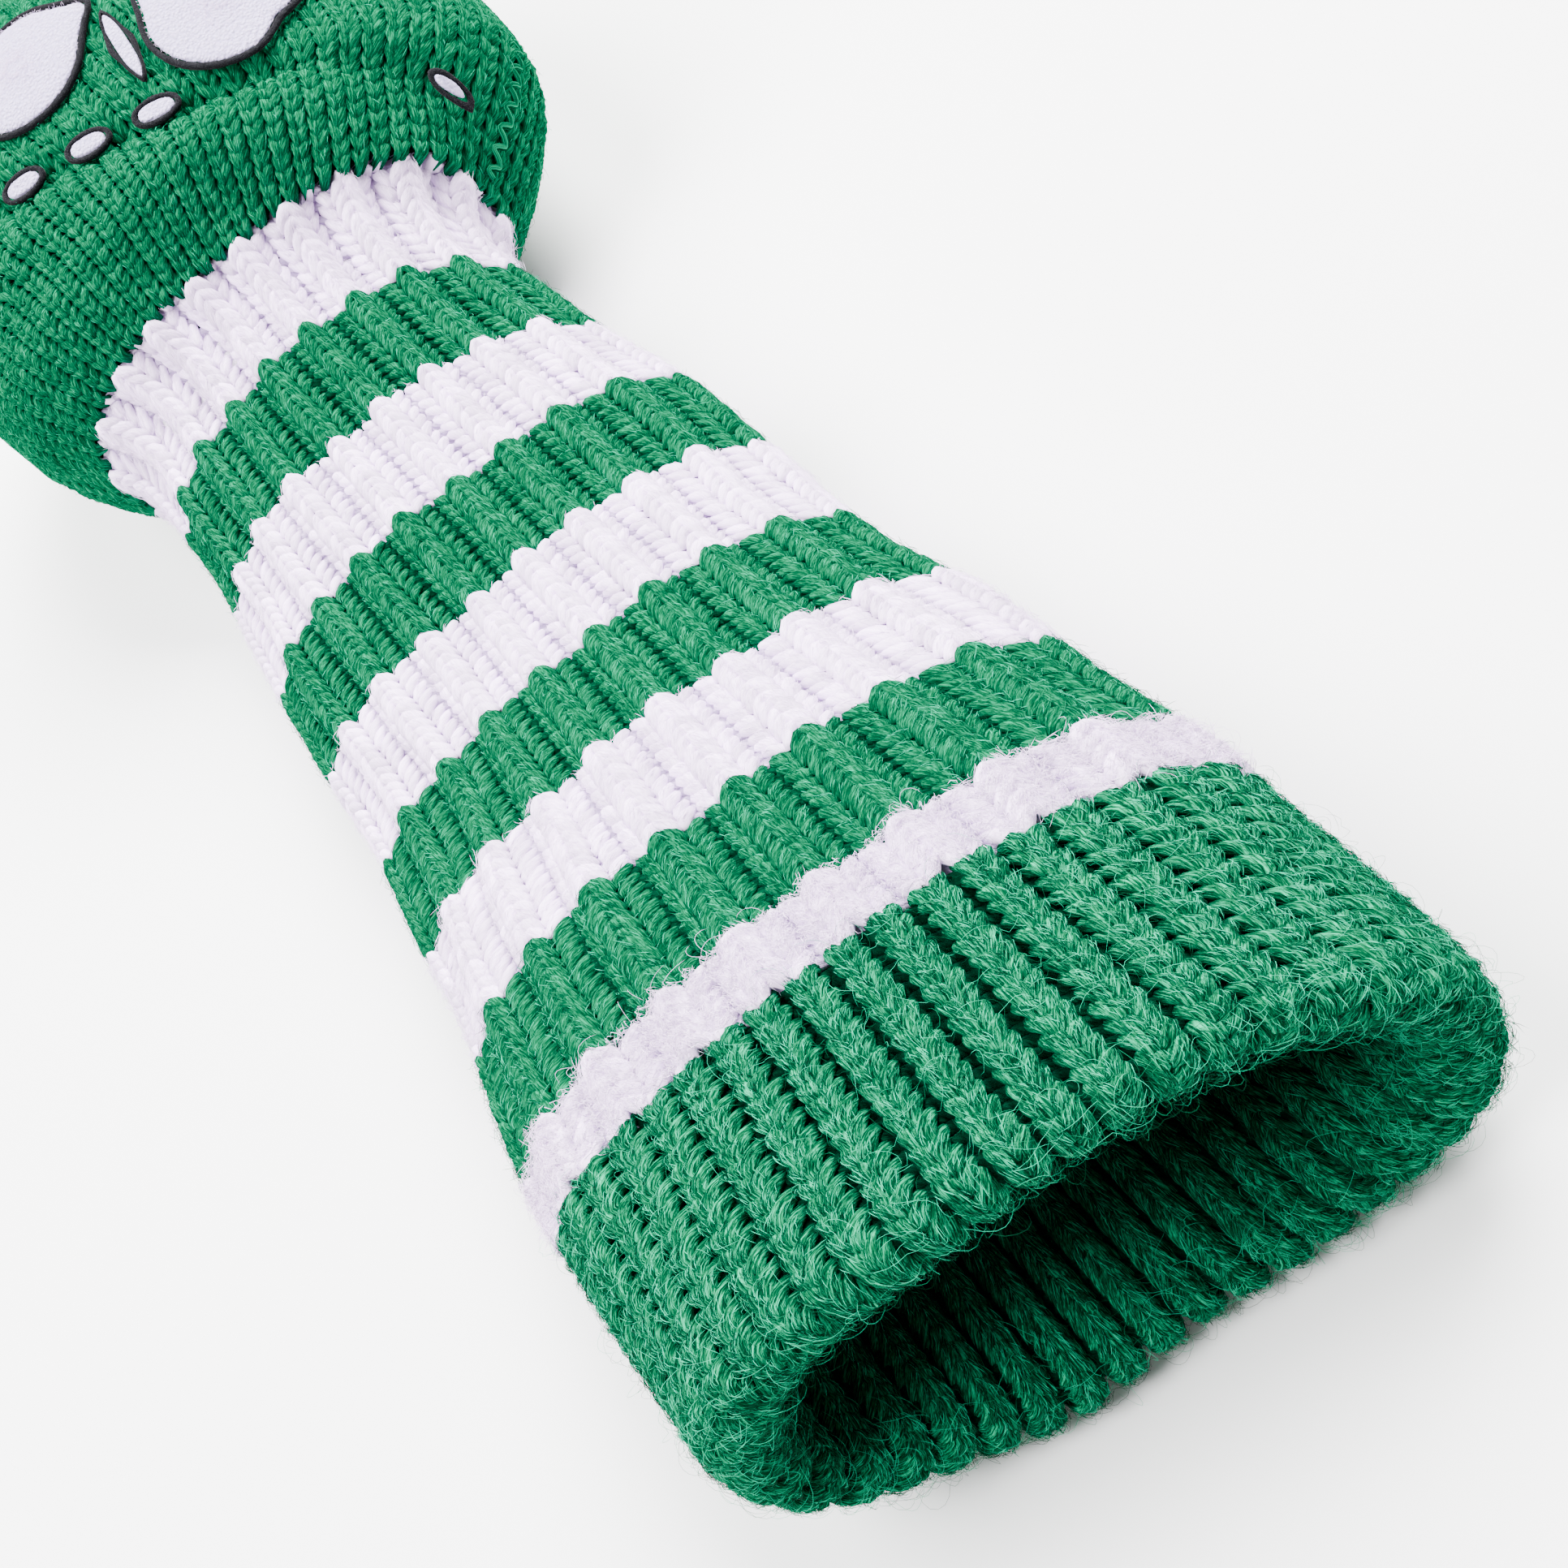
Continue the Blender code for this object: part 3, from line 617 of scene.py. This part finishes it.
CUFF_STITCH = Stitch(0.0033, 0.00146, 9, 10, share=0.50, sink=0.0018, lean=0.42, tip=0.64)
HEM_STITCH = Stitch(0.0033, 0.00146, 8, 8, share=0.56, sink=0.0015, lean=0.42, tip=0.66)
SLEEVE_STITCH = Stitch(0.0024, 0.00118, 6, 7, share=0.90, sink=0.0007, lean=0.35, roomy=0.260)
HEAD_STITCH = Stitch(0.0027, 0.00145, 5, 6, share=0.90, sink=0.0006, roomy=0.36)


def wale_centres(count, paired):
    """Shares of the way round of the knit columns, drawn together in pairs in the wide ribs."""
    index = np.arange(count)
    if not paired:
        return (index + 0.5) / count
    rib = index // 2
    return (rib + np.where(index % 2 == 0, 0.280, 0.720)) / (count / 2)


def stitch_legs(rows, wales, pitch, height, stitch):
    """Centre lines and radii of the two legs of every stitch; rows are q, wales and pitch are u."""
    t = np.linspace(0.0, 1.0, stitch.rings)
    across = 0.09 + stitch.lean * (3.0 * t**2 - 2.0 * t**3)
    along = -1.02 + 1.92 * t
    foot = np.clip(1.0 - t / 0.30, 0.0, 1.0) ** 1.6
    top = np.clip((t - 0.62) / 0.38, 0.0, 1.0) ** 1.5
    dip = stitch.sink * foot + stitch.sink * 1.25 * top
    swell = stitch.tip + (1.0 - stitch.tip) * np.sin(np.pi * (0.10 + 0.80 * t)) ** 0.7
    radius = stitch.radius
    centres = []
    sizes = []
    grid_q, grid_u = np.meshgrid(rows, wales, indexing="ij")
    for side in (-1.0, 1.0):
        count = grid_q.size
        shift = RANDOM.normal(0.0, 0.035 * height, (count, 1))
        stray = RANDOM.normal(0.0, 0.015, (count, 1)) * pitch
        q = grid_q.reshape(-1, 1) + shift + height * along[None, :]
        u = grid_u.reshape(-1, 1) + stray + side * across[None, :] * pitch
        deep = radius * YARN_TOP + RANDOM.normal(0.0, 0.04, (count, 1)) * radius + dip[None, :]
        depth = deep + rib_depth(q, u)
        centres.append(np.stack([q, u, depth], axis=-1))
        sizes.append(radius * RANDOM.normal(1.0, 0.06, (count, 1)) * swell[None, :])
    return np.concatenate(centres), np.concatenate(sizes)


def narrowing(lines, roomy):
    """How much smaller the stitches are where the fabric is drawn in."""
    q = lines[:, lines.shape[1] // 2, 0]
    u = lines[:, lines.shape[1] // 2, 1]
    step = 0.002
    depth = 0.001
    span = np.linalg.norm(place(q, u + step, depth) - place(q, u - step, depth), axis=-1)
    return np.clip(span / (2 * step) / roomy, 0.55, 1.1)


def even_rows(first, last, height, offset):
    """Places of the rows from q first to q last, and their height, which is near the given one."""
    count = max(1, int(round((last - first) / height)))
    height = (last - first) / count
    return first + (np.arange(count) + offset) * height, height


def knit(name, first, last, count, material, stitch, paired=False, keep=None):
    """A field of knit stitches from q first to q last, in count columns round the cover."""
    rows, height = even_rows(first, last, stitch.row, 0.62)
    lines, sizes = stitch_legs(rows, wale_centres(count, paired), stitch.share / count, height,
                               stitch)
    if keep is not None:
        chosen = keep(lines[:, stitch.rings // 2, 1] % 1.0)
        lines = lines[chosen]
        sizes = sizes[chosen]
    sizes = sizes * narrowing(lines, stitch.roomy)[:, None]
    centres = place(lines[..., 0], lines[..., 1], lines[..., 2])
    outward = outward_of(lines[..., 0], lines[..., 1])
    yarn_object(name, centres, sizes, outward, material, stitch.sides)
    LEGS.append((name, lines, sizes, material))


def purl_bumps(name, first, last, count, height, material, floor, radius):
    """Short cross loops at the bottom of the valleys between ribs."""
    rows, height = even_rows(first, last, height, 0.3)
    valleys = np.arange(count) / count
    grid_q, grid_u = np.meshgrid(rows, valleys, indexing="ij")
    t = np.linspace(-1.0, 1.0, 6)
    q = grid_q.reshape(-1, 1) + 0.25 * height * (1.0 - t[None, :] ** 2)
    u = grid_u.reshape(-1, 1) + t[None, :] * 0.26 / count
    depth = floor - 0.0008 * t[None, :] ** 2 + ripple(q, u)
    centres = place(q, u, depth)
    sizes = np.full(centres.shape[:2], radius)
    yarn_object(name, centres, sizes, outward_of(q, u), material, 6)


BACK_THINNEST = 0.0008               # the fabric's least thickness
PURL_LENGTH = 0.0031                 # length of a loop in the ground material's pattern
FACES_APART = 40.0                   # between the outer and the inner face in that pattern


def ground(name, nodes, first, last, material, outer, inner, rows, columns=240):
    """Closed layer of fabric behind the stitches; its outer face follows the ribs, at depth outer."""
    q = np.linspace(first, last, rows + 1)[:, None]
    u = (np.arange(columns) / columns)[None, :]
    relief = rib_depth(q, u)
    outside = place(q, u, outer + relief)
    inside = place(q, u, np.maximum(inner + ripple(q, u), outer + relief + BACK_THINNEST))
    points = np.concatenate([outside.reshape(-1, 3), inside.reshape(-1, 3)])
    layer = outside.shape[0] * columns
    row = (np.arange(rows) * columns)[:, None]
    here = np.arange(columns)[None, :]
    there = ((np.arange(columns) + 1) % columns)[None, :]
    front = np.stack([row + here, row + columns + here, row + columns + there, row + there], axis=-1)
    back = front[..., ::-1] + layer
    far = rows * columns
    start = np.stack([here, there, layer + there, layer + here], axis=-1)
    end = np.stack([far + here, layer + far + here, layer + far + there, far + there], axis=-1)
    quads = np.concatenate([part.reshape(-1, 4) for part in (front, back, start, end)])
    lay = np.stack(np.broadcast_arrays(u * 2.0 * WALES, q / PURL_LENGTH, 0.0), axis=-1)
    fibre = np.concatenate([lay.reshape(-1, 3), lay.reshape(-1, 3) + FACES_APART])
    item = mesh_object(name, points, [quads], np.zeros(len(quads)), [material], {"fibre": fibre})
    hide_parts(*nodes)


# ---- Loose fibres ---------------------------------------------------------------------------------

MEAN_WAY_ROUND = 0.27                # typical length once round the cover
FIBRE_STEPS = 4
FIBRE_RADIUS = 0.000036
CUFF_FIBRE_RADIUS = 0.000042
NAP_RADIUS = 0.00003
SIDEWAYS = 1.5                       # widest angle at which a fibre lies, radians from the top
# Word in a field's name, fibres on a leg, their length, how far they stand off, and radius. The
# first row whose word is in the name is used.
FUZZ = (
    ("cuff_outer", 44, 0.0030, 0.00028, CUFF_FIBRE_RADIUS),
    ("cuff_hem", 26, 0.0030, 0.00036, CUFF_FIBRE_RADIUS),
    ("head", 3, 0.0022, 0.0003, FIBRE_RADIUS),
    ("white_band_5", 40, 0.0026, 0.0006, FIBRE_RADIUS),
    ("neck", 24, 0.0026, 0.0004, FIBRE_RADIUS),
    ("band_4", 14, 0.0024, 0.0004, FIBRE_RADIUS),
    ("band", 7, 0.0022, 0.0003, FIBRE_RADIUS),
)


def read_along(values, pick, t):
    """Values given at the rings of each leg, read at share t of the length of the picked legs."""
    rings = values.shape[1]
    low = np.clip((t * (rings - 1)).astype(int), 0, rings - 2)
    share = t * (rings - 1) - low
    return values[pick, low] * (1 - share) + values[pick, low + 1] * share


def short_fibres(name, lines, sizes, per_leg, length, lift, radius, materials):
    """Fine fibres that lie along the strands and stand a little off them."""
    pick = np.repeat(np.arange(len(lines)), per_leg)
    count = len(pick)
    start = RANDOM.uniform(0.12, 0.62, count)
    reach = RANDOM.uniform(0.6, 1.3, count) * length
    side = RANDOM.normal(0.0, 0.75, count)
    drift = RANDOM.normal(0.0, 0.35, count)
    rise = np.abs(RANDOM.normal(0.0, lift, count)) + 0.00006
    forward = np.where(RANDOM.random(count) < 0.5, 1.0, -1.0)
    start = np.where(forward > 0, start, 1.0 - start)
    span = np.abs(lines[pick, -1, 0] - lines[pick, 0, 0]) + 1e-6
    paths = []
    places = []
    for step in range(FIBRE_STEPS):
        s = step / (FIBRE_STEPS - 1)
        t = np.clip(start + forward * s * reach / (1.25 * span), 0.0, 1.0)
        q, u, depth = (read_along(lines[..., column], pick, t) for column in range(3))
        yarn = read_along(sizes, pick, t)
        angle = np.clip(side + drift * s, -SIDEWAYS, SIDEWAYS)
        out = yarn * YARN_TOP * np.cos(angle) + rise * s * 1.6 + 0.00002
        over = yarn * np.sin(angle)
        paths.append(place(q, u + over / MEAN_WAY_ROUND, depth - out))
        places.append(t)
    # Fibres whose middle lies near a leg's ends sit down in the valleys; they are marked for the
    # darker shades, a painted shade.
    middle = np.mean(places, axis=0)
    fibre_object(name, np.stack(paths, axis=1), radius * RANDOM.uniform(0.7, 1.3, count), materials,
                 (middle > 0.66) | (middle < 0.18))


def flyaways(name, q_low, q_high, count, length, materials, radius=0.000024, base=0.0012,
             stand=0.0011, steps=8):
    """Long curly single fibres that stand off the fabric."""
    q = RANDOM.uniform(q_low, q_high, count)
    u = RANDOM.uniform(0.0, 1.0, count)
    heading = RANDOM.uniform(0.0, 2.0 * np.pi, count)
    bend = RANDOM.normal(0.0, 2.4, count)
    size = length * RANDOM.uniform(0.5, 1.5, count)
    top = np.abs(RANDOM.normal(0.0, stand, count)) + 0.0003
    paths = []
    for step in range(steps):
        s = step / (steps - 1)
        depth = base - (base + top) * np.sin(np.pi * (0.12 + 0.70 * s)) + rib_depth(q, u) * 0.5
        paths.append(place(q, u, depth))
        q = q + size / steps * np.cos(heading + bend * s)
        u = u + size / steps * np.sin(heading + bend * s) / MEAN_WAY_ROUND
    fibre_object(name, np.stack(paths, axis=1), np.full(count, radius), materials)


# ---- Assembly of the cover ------------------------------------------------------------------------

LIP_SPLIT = 0.0045                   # where the hem's stitches end and the outer ones begin
CUFF_PURL_ROW = 0.0022
CUFF_BACK = (0.0024, 0.0038)         # depths of the outer and inner face of the fabric
HEM_BACK_GAP = 0.0004                # between the fabric of the hem and of the outer side
SLEEVE_PURL_ROW = 0.0021
SLEEVE_PURL_RADIUS = 0.00135
SLEEVE_BACK_INNER = 0.0050
SLEEVE_BACK_ROW = 0.0022
BACK_LAP_BEFORE = 0.0008             # how far a band's fabric runs on below its neighbours
BACK_LAP_AFTER = 0.0004
NECK_TUCK = 0.0012                   # the neck's last row ends this far short of the head


def build_cuff():
    """The ribbed cuff: its outer side, and the lip and hem that turn in behind it."""
    knit("cuff_outer_knit", LIP_SPLIT, M_CUFF, WALES, GREEN_YARN, CUFF_STITCH)
    knit("cuff_hem_knit", HEM_END, LIP_SPLIT, WALES, GREEN_YARN, HEM_STITCH)
    # The purl loops and the backs take the darker back green: painted shade in the rib valleys and
    # the gaps between stitches.
    purl_bumps("cuff_outer_purl", LIP_SPLIT, M_CUFF, WALES, CUFF_PURL_ROW, GREEN_GROUND_PAINTED_SHADE,
               floor=0.0050, radius=0.0013)
    purl_bumps("cuff_hem_purl", HEM_END, LIP_SPLIT, WALES, CUFF_PURL_ROW, GREEN_GROUND_PAINTED_SHADE,
               floor=0.0038, radius=0.0012)
    ground("cuff_outer_back", ["cuff_outer"], LIP_START, M_CUFF, GREEN_GROUND_PAINTED_SHADE, *CUFF_BACK, rows=14)
    ground("cuff_hem_back", ["cuff_hem"], HEM_END, LIP_START - HEM_BACK_GAP, GREEN_GROUND_PAINTED_SHADE,
           *CUFF_BACK, rows=18)


def sleeve_bands():
    """Each stripe's name, first and last meridian length, and whether it is green."""
    edges = [CUFF_LENGTH, CUFF_LENGTH + NARROW_BAND]
    while len(edges) < STRIPE_COUNT + 2:
        edges.append(edges[-1] + STRIPE)
    edges.append(HEAD_START)
    names = ["sleeve_white_band_5", "sleeve_green_band_4", "sleeve_white_band_4",
             "sleeve_green_band_3", "sleeve_white_band_3", "sleeve_green_band_2",
             "sleeve_white_band_2", "sleeve_green_band_1", "neck_white_band"]
    for name, start, end in zip(names, edges[:-1], edges[1:]):
        yield name, float(COVER.m_at(start)), float(COVER.m_at(end)), "green" in name


def build_sleeve():
    """The striped sleeve and the neck, whose ribs are two columns wide."""
    for name, start, end, is_green in sleeve_bands():
        is_neck = name == "neck_white_band"
        yarn = SOFT_GREEN_YARN if is_green else WHITE_YARN
        # Each band's purl loops and back take the darker colour of its yarn: painted shade in the rib
        # valleys and the gaps between stitches.
        back = GREEN_GROUND_PAINTED_SHADE if is_green else WHITE_GROUND_PAINTED_SHADE
        plump = 1.34 if is_neck else 1.04 if is_green else 1.12
        stitch = SLEEVE_STITCH._replace(radius=SLEEVE_STITCH.radius * plump,
                                        sink=SLEEVE_STITCH.sink / plump)
        last = end - NECK_TUCK if is_neck else end
        knit(name + "_knit", start, last, WALES, yarn, stitch, paired=True)
        purl_bumps(name + "_purl", start, end, WALES // 2, SLEEVE_PURL_ROW, back,
                   floor=0.0045 if is_neck else 0.0041, radius=SLEEVE_PURL_RADIUS)
        rows = max(4, int(round((end - start) / SLEEVE_BACK_ROW)))
        ground(name + "_back", [name], start - BACK_LAP_BEFORE, end + BACK_LAP_AFTER, back,
               0.0017 if is_green else 0.0019, SLEEVE_BACK_INNER, rows)


HEAD_SHRINKS = (0.225, 0.115)        # ways round at which the head's columns halve in number
CROWN_OPENING = 0.002                # the knit ends this far before the crown
HEAD_BACK = (0.0022, 0.0050)         # depths of the outer and inner face of the fabric
SEAM_YARN = 0.0007
SEAM_SWING = 0.0013
SEAM_PITCH = 0.0034
SEAM_STEP = 0.0004


def where_round(length):
    """Meridian length near the crown at which the way round has shrunk to this."""
    m = np.linspace(COVER.m_at(CREASE + 0.03), COVER.m[-1], 400)
    return float(m[np.argmax(COVER.perimeter(m) < length)])


def upper_half(u):
    return (u >= 0.25) & (u < 0.75)


def lower_half(u):
    return ~upper_half(u)


def build_head():
    """The head's knit, front and back, with half as many columns in each ring nearer the crown."""
    top = float(COVER.m_at(TOTAL_LENGTH - CROWN_OPENING))
    edges = (M_HEAD, *(where_round(length) for length in HEAD_SHRINKS), top)
    for half, keep in (("front", upper_half), ("back", lower_half)):
        for ring, (start, end) in enumerate(zip(edges[:-1], edges[1:])):
            stitch = HEAD_STITCH._replace(roomy=HEAD_STITCH.roomy / 2 ** ring)
            knit("head_%s_knit_%d" % (half, ring + 1), start, end, HEAD_WALES // 2 ** ring,
                 SOFT_GREEN_YARN, stitch, keep=keep)
    # The head's back takes the darker back green: painted shade in the gaps between stitches.
    ground("head_back", ["head_front_panel", "head_back_panel"], M_HEAD, top, GREEN_GROUND_PAINTED_SHADE,
           *HEAD_BACK, rows=80, columns=300)
    for side, u in (("right", 0.25), ("left", 0.75)):
        build_seam("side_seam_" + side, u, M_HEAD + 0.002, top)


def build_seam(node, u, first, last):
    """Overlocked seam: one strand that zigzags along the side of the head."""
    length = last - first
    t = np.linspace(0.0, 1.0, int(length / SEAM_STEP))
    swing = np.sin(2.0 * np.pi * t * length / SEAM_PITCH)
    q = (first + t * length)[None, :]
    way = (u + SEAM_SWING * swing / COVER.perimeter(first + t * length))[None, :]
    depth = -0.0002 + rib_depth(q, np.full_like(q, u)) * 0.3 + 0.0004 * swing[None, :] ** 2
    item = yarn_object(node + "_stitch", place(q, way, depth), np.full(q.shape, SEAM_YARN),
                       outward_of(q, way), GREEN_YARN, 6)
    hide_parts(node)


# ---- Motif, crown and inner pieces ----------------------------------------------------------------

WELD = 0.000002
UNEVENNESS = 0.00003
FELT_LEVEL = 2                       # times that a piece is subdivided
SATIN_LEVEL = 1
MOTIF_SINK = 0.0009                  # how far the patches are pressed into the knit
DASH_SINK = 0.0018
DASH_SCALE = 0.95
SMALL_DASH_SCALE = 0.62
FELT_GRAIN = 1400.0                  # loops of the felt's pattern per metre
CROWN_GRAIN = 900.0


def soft_copy(node, material, level, sink, scale=1.0):
    """Rounded and slightly uneven piece in a CAD node's place; returns its points and normals."""
    build = bmesh.new()
    build.from_mesh(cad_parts[node].data)
    bmesh.ops.remove_doubles(build, verts=build.verts, dist=WELD)
    mesh = bpy.data.meshes.new(node + "_soft")
    build.to_mesh(mesh)
    build.free()
    item = new_object(node + "_soft", mesh)
    subdivision = item.modifiers.new("round", "SUBSURF")
    subdivision.levels = level
    view = bpy.context.evaluated_depsgraph_get()
    smooth = bpy.data.meshes.new_from_object(item.evaluated_get(view))
    item.modifiers.clear()
    item.data = smooth
    count = len(smooth.vertices)
    points = np.empty(3 * count, np.float32)
    smooth.vertices.foreach_get("co", points)
    facing = np.empty(3 * count, np.float32)
    smooth.vertices.foreach_get("normal", facing)
    points = points.reshape(-1, 3)
    facing = facing.reshape(-1, 3)
    points = points + facing * RANDOM.normal(0.0, UNEVENNESS, (count, 1))
    middle = 0.5 * (points.min(axis=0) + points.max(axis=0))
    points = middle + scale * (points - middle)
    points[:, 2] -= sink
    smooth.vertices.foreach_set("co", points.astype(np.float32).ravel())
    smooth.materials.clear()
    smooth.materials.append(material)
    attribute = smooth.attributes.new("fibre", "FLOAT_VECTOR", "POINT")
    attribute.data.foreach_set("vector", (points * FELT_GRAIN).astype(np.float32).ravel())
    smooth.update()
    smooth.shade_smooth()
    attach(item, "root")
    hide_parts(node)
    return points, facing


def ellipsoid(middle, radii, segments=32, rings=16):
    """Points and faces of a closed ellipsoid whose poles point up and down."""
    polar = np.pi * np.arange(1, rings) / rings
    turn = 2.0 * np.pi * np.arange(segments) / segments
    levels = np.stack([np.outer(np.sin(polar), np.cos(turn)), np.outer(np.sin(polar), np.sin(turn)),
                       np.outer(np.cos(polar), np.ones(segments))], axis=-1)
    sphere = np.concatenate([[(0.0, 0.0, 1.0)], levels.reshape(-1, 3), [(0.0, 0.0, -1.0)]])
    here = np.arange(segments)
    there = (here + 1) % segments
    upper = 1 + (np.arange(rings - 2) * segments)[:, None]
    lower = upper + segments
    last = 1 + (rings - 2) * segments
    quads = np.stack([upper + here, lower + here, lower + there, upper + there], axis=-1)
    top = np.stack([np.zeros(segments, int), 1 + here, 1 + there], axis=-1)
    bottom = np.stack([np.full(segments, last + segments), last + there, last + here], axis=-1)
    faces = quads.reshape(-1, 4).tolist() + top.tolist() + bottom.tolist()
    return sphere * radii + middle, faces


def build_crown():
    """Gathered end of the head: strands drawn in to the middle over a dense round back."""
    middle = 0.5 * (CROWN_LOW + CROWN_HIGH)
    count = HEAD_WALES // 2
    t = np.linspace(0.0, 1.0, 9)[None, :]
    turn = 2.0 * np.pi * (np.arange(count)[:, None] + RANDOM.uniform(-0.15, 0.15, (count, 1))) / count
    turn = turn + 0.5 * t
    reach = CROWN_RADIUS * (1.45 - 1.38 * t)
    dimple = 0.0012 * np.clip(t - 0.8, 0.0, 1.0) / 0.2
    bulge = -0.0050 + 0.0052 * np.sin(0.5 * np.pi * t) ** 0.8 - dimple
    centres = np.stack([middle.x + reach * np.cos(turn),
                        np.broadcast_to(CAD_HIGH.y + bulge, turn.shape),
                        middle.z + reach * np.sin(turn)], axis=-1)
    outward = np.broadcast_to(np.array([0.0, 1.0, 0.0]), centres.shape)
    sizes = 0.00125 * (1.05 - 0.62 * t) * RANDOM.uniform(0.9, 1.1, (count, 1))
    yarn_object("crown_gather_strands", centres, sizes, outward, GREEN_YARN, 8)
    points, faces = ellipsoid((middle.x, CAD_HIGH.y - 0.0052, middle.z),
                              (1.3 * CROWN_RADIUS, 0.0034, 1.3 * CROWN_RADIUS))
    mesh = bpy.data.meshes.new("crown_gather_back")
    mesh.from_pydata(points.tolist(), [], faces)
    mesh.update()
    # The round back takes the darker back green: painted shade between the gathered strands.
    mesh.materials.append(GREEN_GROUND_PAINTED_SHADE)
    attribute = mesh.attributes.new("fibre", "FLOAT_VECTOR", "POINT")
    attribute.data.foreach_set("vector", (points * CROWN_GRAIN).astype(np.float32).ravel())
    mesh.shade_smooth()
    item = new_object("crown_gather_back", mesh)
    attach(item, "root")
    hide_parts("crown_gather")


def nap(name, points, facing, per_point, length, materials):
    """Short pile that stands off a felt piece."""
    pick = np.repeat(np.arange(len(points)), per_point)
    pick = pick[facing[pick, 2] > 0.3]
    count = len(pick)
    start = points[pick] + RANDOM.normal(0.0, 0.0003, (count, 3)) * (1.0, 1.0, 0.1)
    lean = RANDOM.normal(0.0, 0.9, (count, 3))
    heading = unit(0.55 * facing[pick] + lean - facing[pick] * np.sum(lean * facing[pick], axis=1,
                                                                  keepdims=True))
    size = length * RANDOM.uniform(0.5, 1.4, (count, 1))
    steps = [start - 0.0001 * facing[pick] + heading * size * s for s in (0.0, 0.35, 0.7, 1.0)]
    fibre_object(name, np.stack(steps, axis=1), np.full(count, NAP_RADIUS), materials)


def build_motif():
    """The clover and the row of dashes: felt patches with satin edgings."""
    for name in ("right", "top", "left"):
        points, facing = soft_copy("clover_leaf_" + name, FELT, FELT_LEVEL, MOTIF_SINK)
        nap("clover_leaf_%s_nap" % name, points, facing, 2, 0.0008, WHITE_HAIR)
        soft_copy("clover_edging_" + name, SATIN, SATIN_LEVEL, MOTIF_SINK)
    soft_copy("clover_stem", FELT, FELT_LEVEL, MOTIF_SINK)
    soft_copy("clover_stem_edging", SATIN, SATIN_LEVEL, MOTIF_SINK)
    for number in range(1, 6):
        scale = SMALL_DASH_SCALE if number == 5 else DASH_SCALE
        soft_copy("dash_%d" % number, FELT, FELT_LEVEL, DASH_SINK, scale)
        soft_copy("dash_edging_%d" % number, SATIN, SATIN_LEVEL, DASH_SINK, scale)


def finish_inner_pieces():
    """Materials for the CAD pieces that are seen as they are, inside the cover."""
    for names, material in ((("lining_front", "lining_back", "lining_binding"), FLEECE),
                            (("neck_elastic",), WEBBING), (("hem_stitch",), GREEN_YARN)):
        for name in names:
            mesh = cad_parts[name].data
            mesh.materials.clear()
            mesh.materials.append(material)


def build_fuzz():
    """Fibres on the strands: dense on the cuff, thinner along the sleeve and head."""
    for name, lines, sizes, material in LEGS:
        hairs = WHITE_HAIR if material is WHITE_YARN else GREEN_HAIR
        fuzz = next(row[1:] for row in FUZZ if row[0] in name)
        short_fibres(name.replace("_knit", "_fuzz"), lines, sizes, *fuzz, hairs)
    flyaways("cuff_flyaways", 0.004, M_CUFF, 1300, 0.006, GREEN_HAIR[1:])
    flyaways("lip_flyaways", LIP_START - 0.022, 0.005, 1500, 0.007, GREEN_HAIR[1:])
    start = M_CUFF + 0.001
    flyaways("white_flyaways", start, start + NARROW_BAND, 350, 0.005, WHITE_HAIR)
    flyaways("white_pile", start - 0.0008, start + NARROW_BAND - 0.0014, 9000, 0.0020, WHITE_HAIR,
             radius=0.00005, base=0.0014, stand=0.00025, steps=4)


# ---- Camera, floor and light ----------------------------------------------------------------------

def camera():
    """Camera close above the mouth, rolled so that the sleeve runs to the upper left."""
    data = bpy.data.cameras.new("camera")
    item = new_object("camera", data)
    eye = Vector((SHIFT_X + 0.0294, SHIFT_Y - 0.0860, 0.2463))
    target = Vector((SHIFT_X + 0.0081, SHIFT_Y + 0.0947, 0.025))
    roll = -0.865
    forward = (target - eye).normalized()
    right = forward.cross(Vector((0.0, 0.0, 1.0))).normalized()
    up = right.cross(forward)
    rolled_right = math.cos(roll) * right + math.sin(roll) * up
    rolled_up = -math.sin(roll) * right + math.cos(roll) * up
    matrix = Matrix((rolled_right, rolled_up, -forward)).transposed().to_4x4()
    matrix.translation = eye
    item.matrix_world = matrix
    data.sensor_width = 36.0
    data.lens = 42.3
    data.clip_start = 0.005
    data.clip_end = 20.0
    bpy.context.scene.camera = item


def stage():
    """White floor, a key light on the right, a weaker and softer one on the left, and white sky."""
    bpy.ops.mesh.primitive_plane_add(size=16.0, location=(0.0, 0.0, 0.0))
    floor = bpy.context.active_object
    floor.name = "floor"
    material, _, shader = new_material("floor_paper")
    shader.inputs["Base Color"].default_value = (0.93, 0.93, 0.93, 1.0)
    shader.inputs["Roughness"].default_value = 0.8
    floor.data.materials.append(material)
    world = bpy.data.worlds.new("studio")
    bpy.context.scene.world = world
    world.use_nodes = True
    sky = world.node_tree.nodes["Background"]
    sky.inputs["Color"].default_value = (1.0, 1.0, 1.0, 1.0)
    sky.inputs["Strength"].default_value = 0.34
    for name, spot, size, energy in (("key", (0.75, 0.55, 1.15), 0.9, 140.0),
                                     ("top", (-0.7, 0.2, 1.3), 1.2, 110.0)):
        data = bpy.data.lights.new(name, "AREA")
        data.size = size
        data.energy = energy
        lamp = new_object(name, data)
        lamp.location = spot
        lamp.rotation_mode = "QUATERNION"
        lamp.rotation_quaternion = (-Vector(spot)).to_track_quat("-Z", "Y")


build_cuff()
build_sleeve()
build_head()
build_crown()
build_motif()
finish_inner_pieces()
build_fuzz()
camera()
stage()
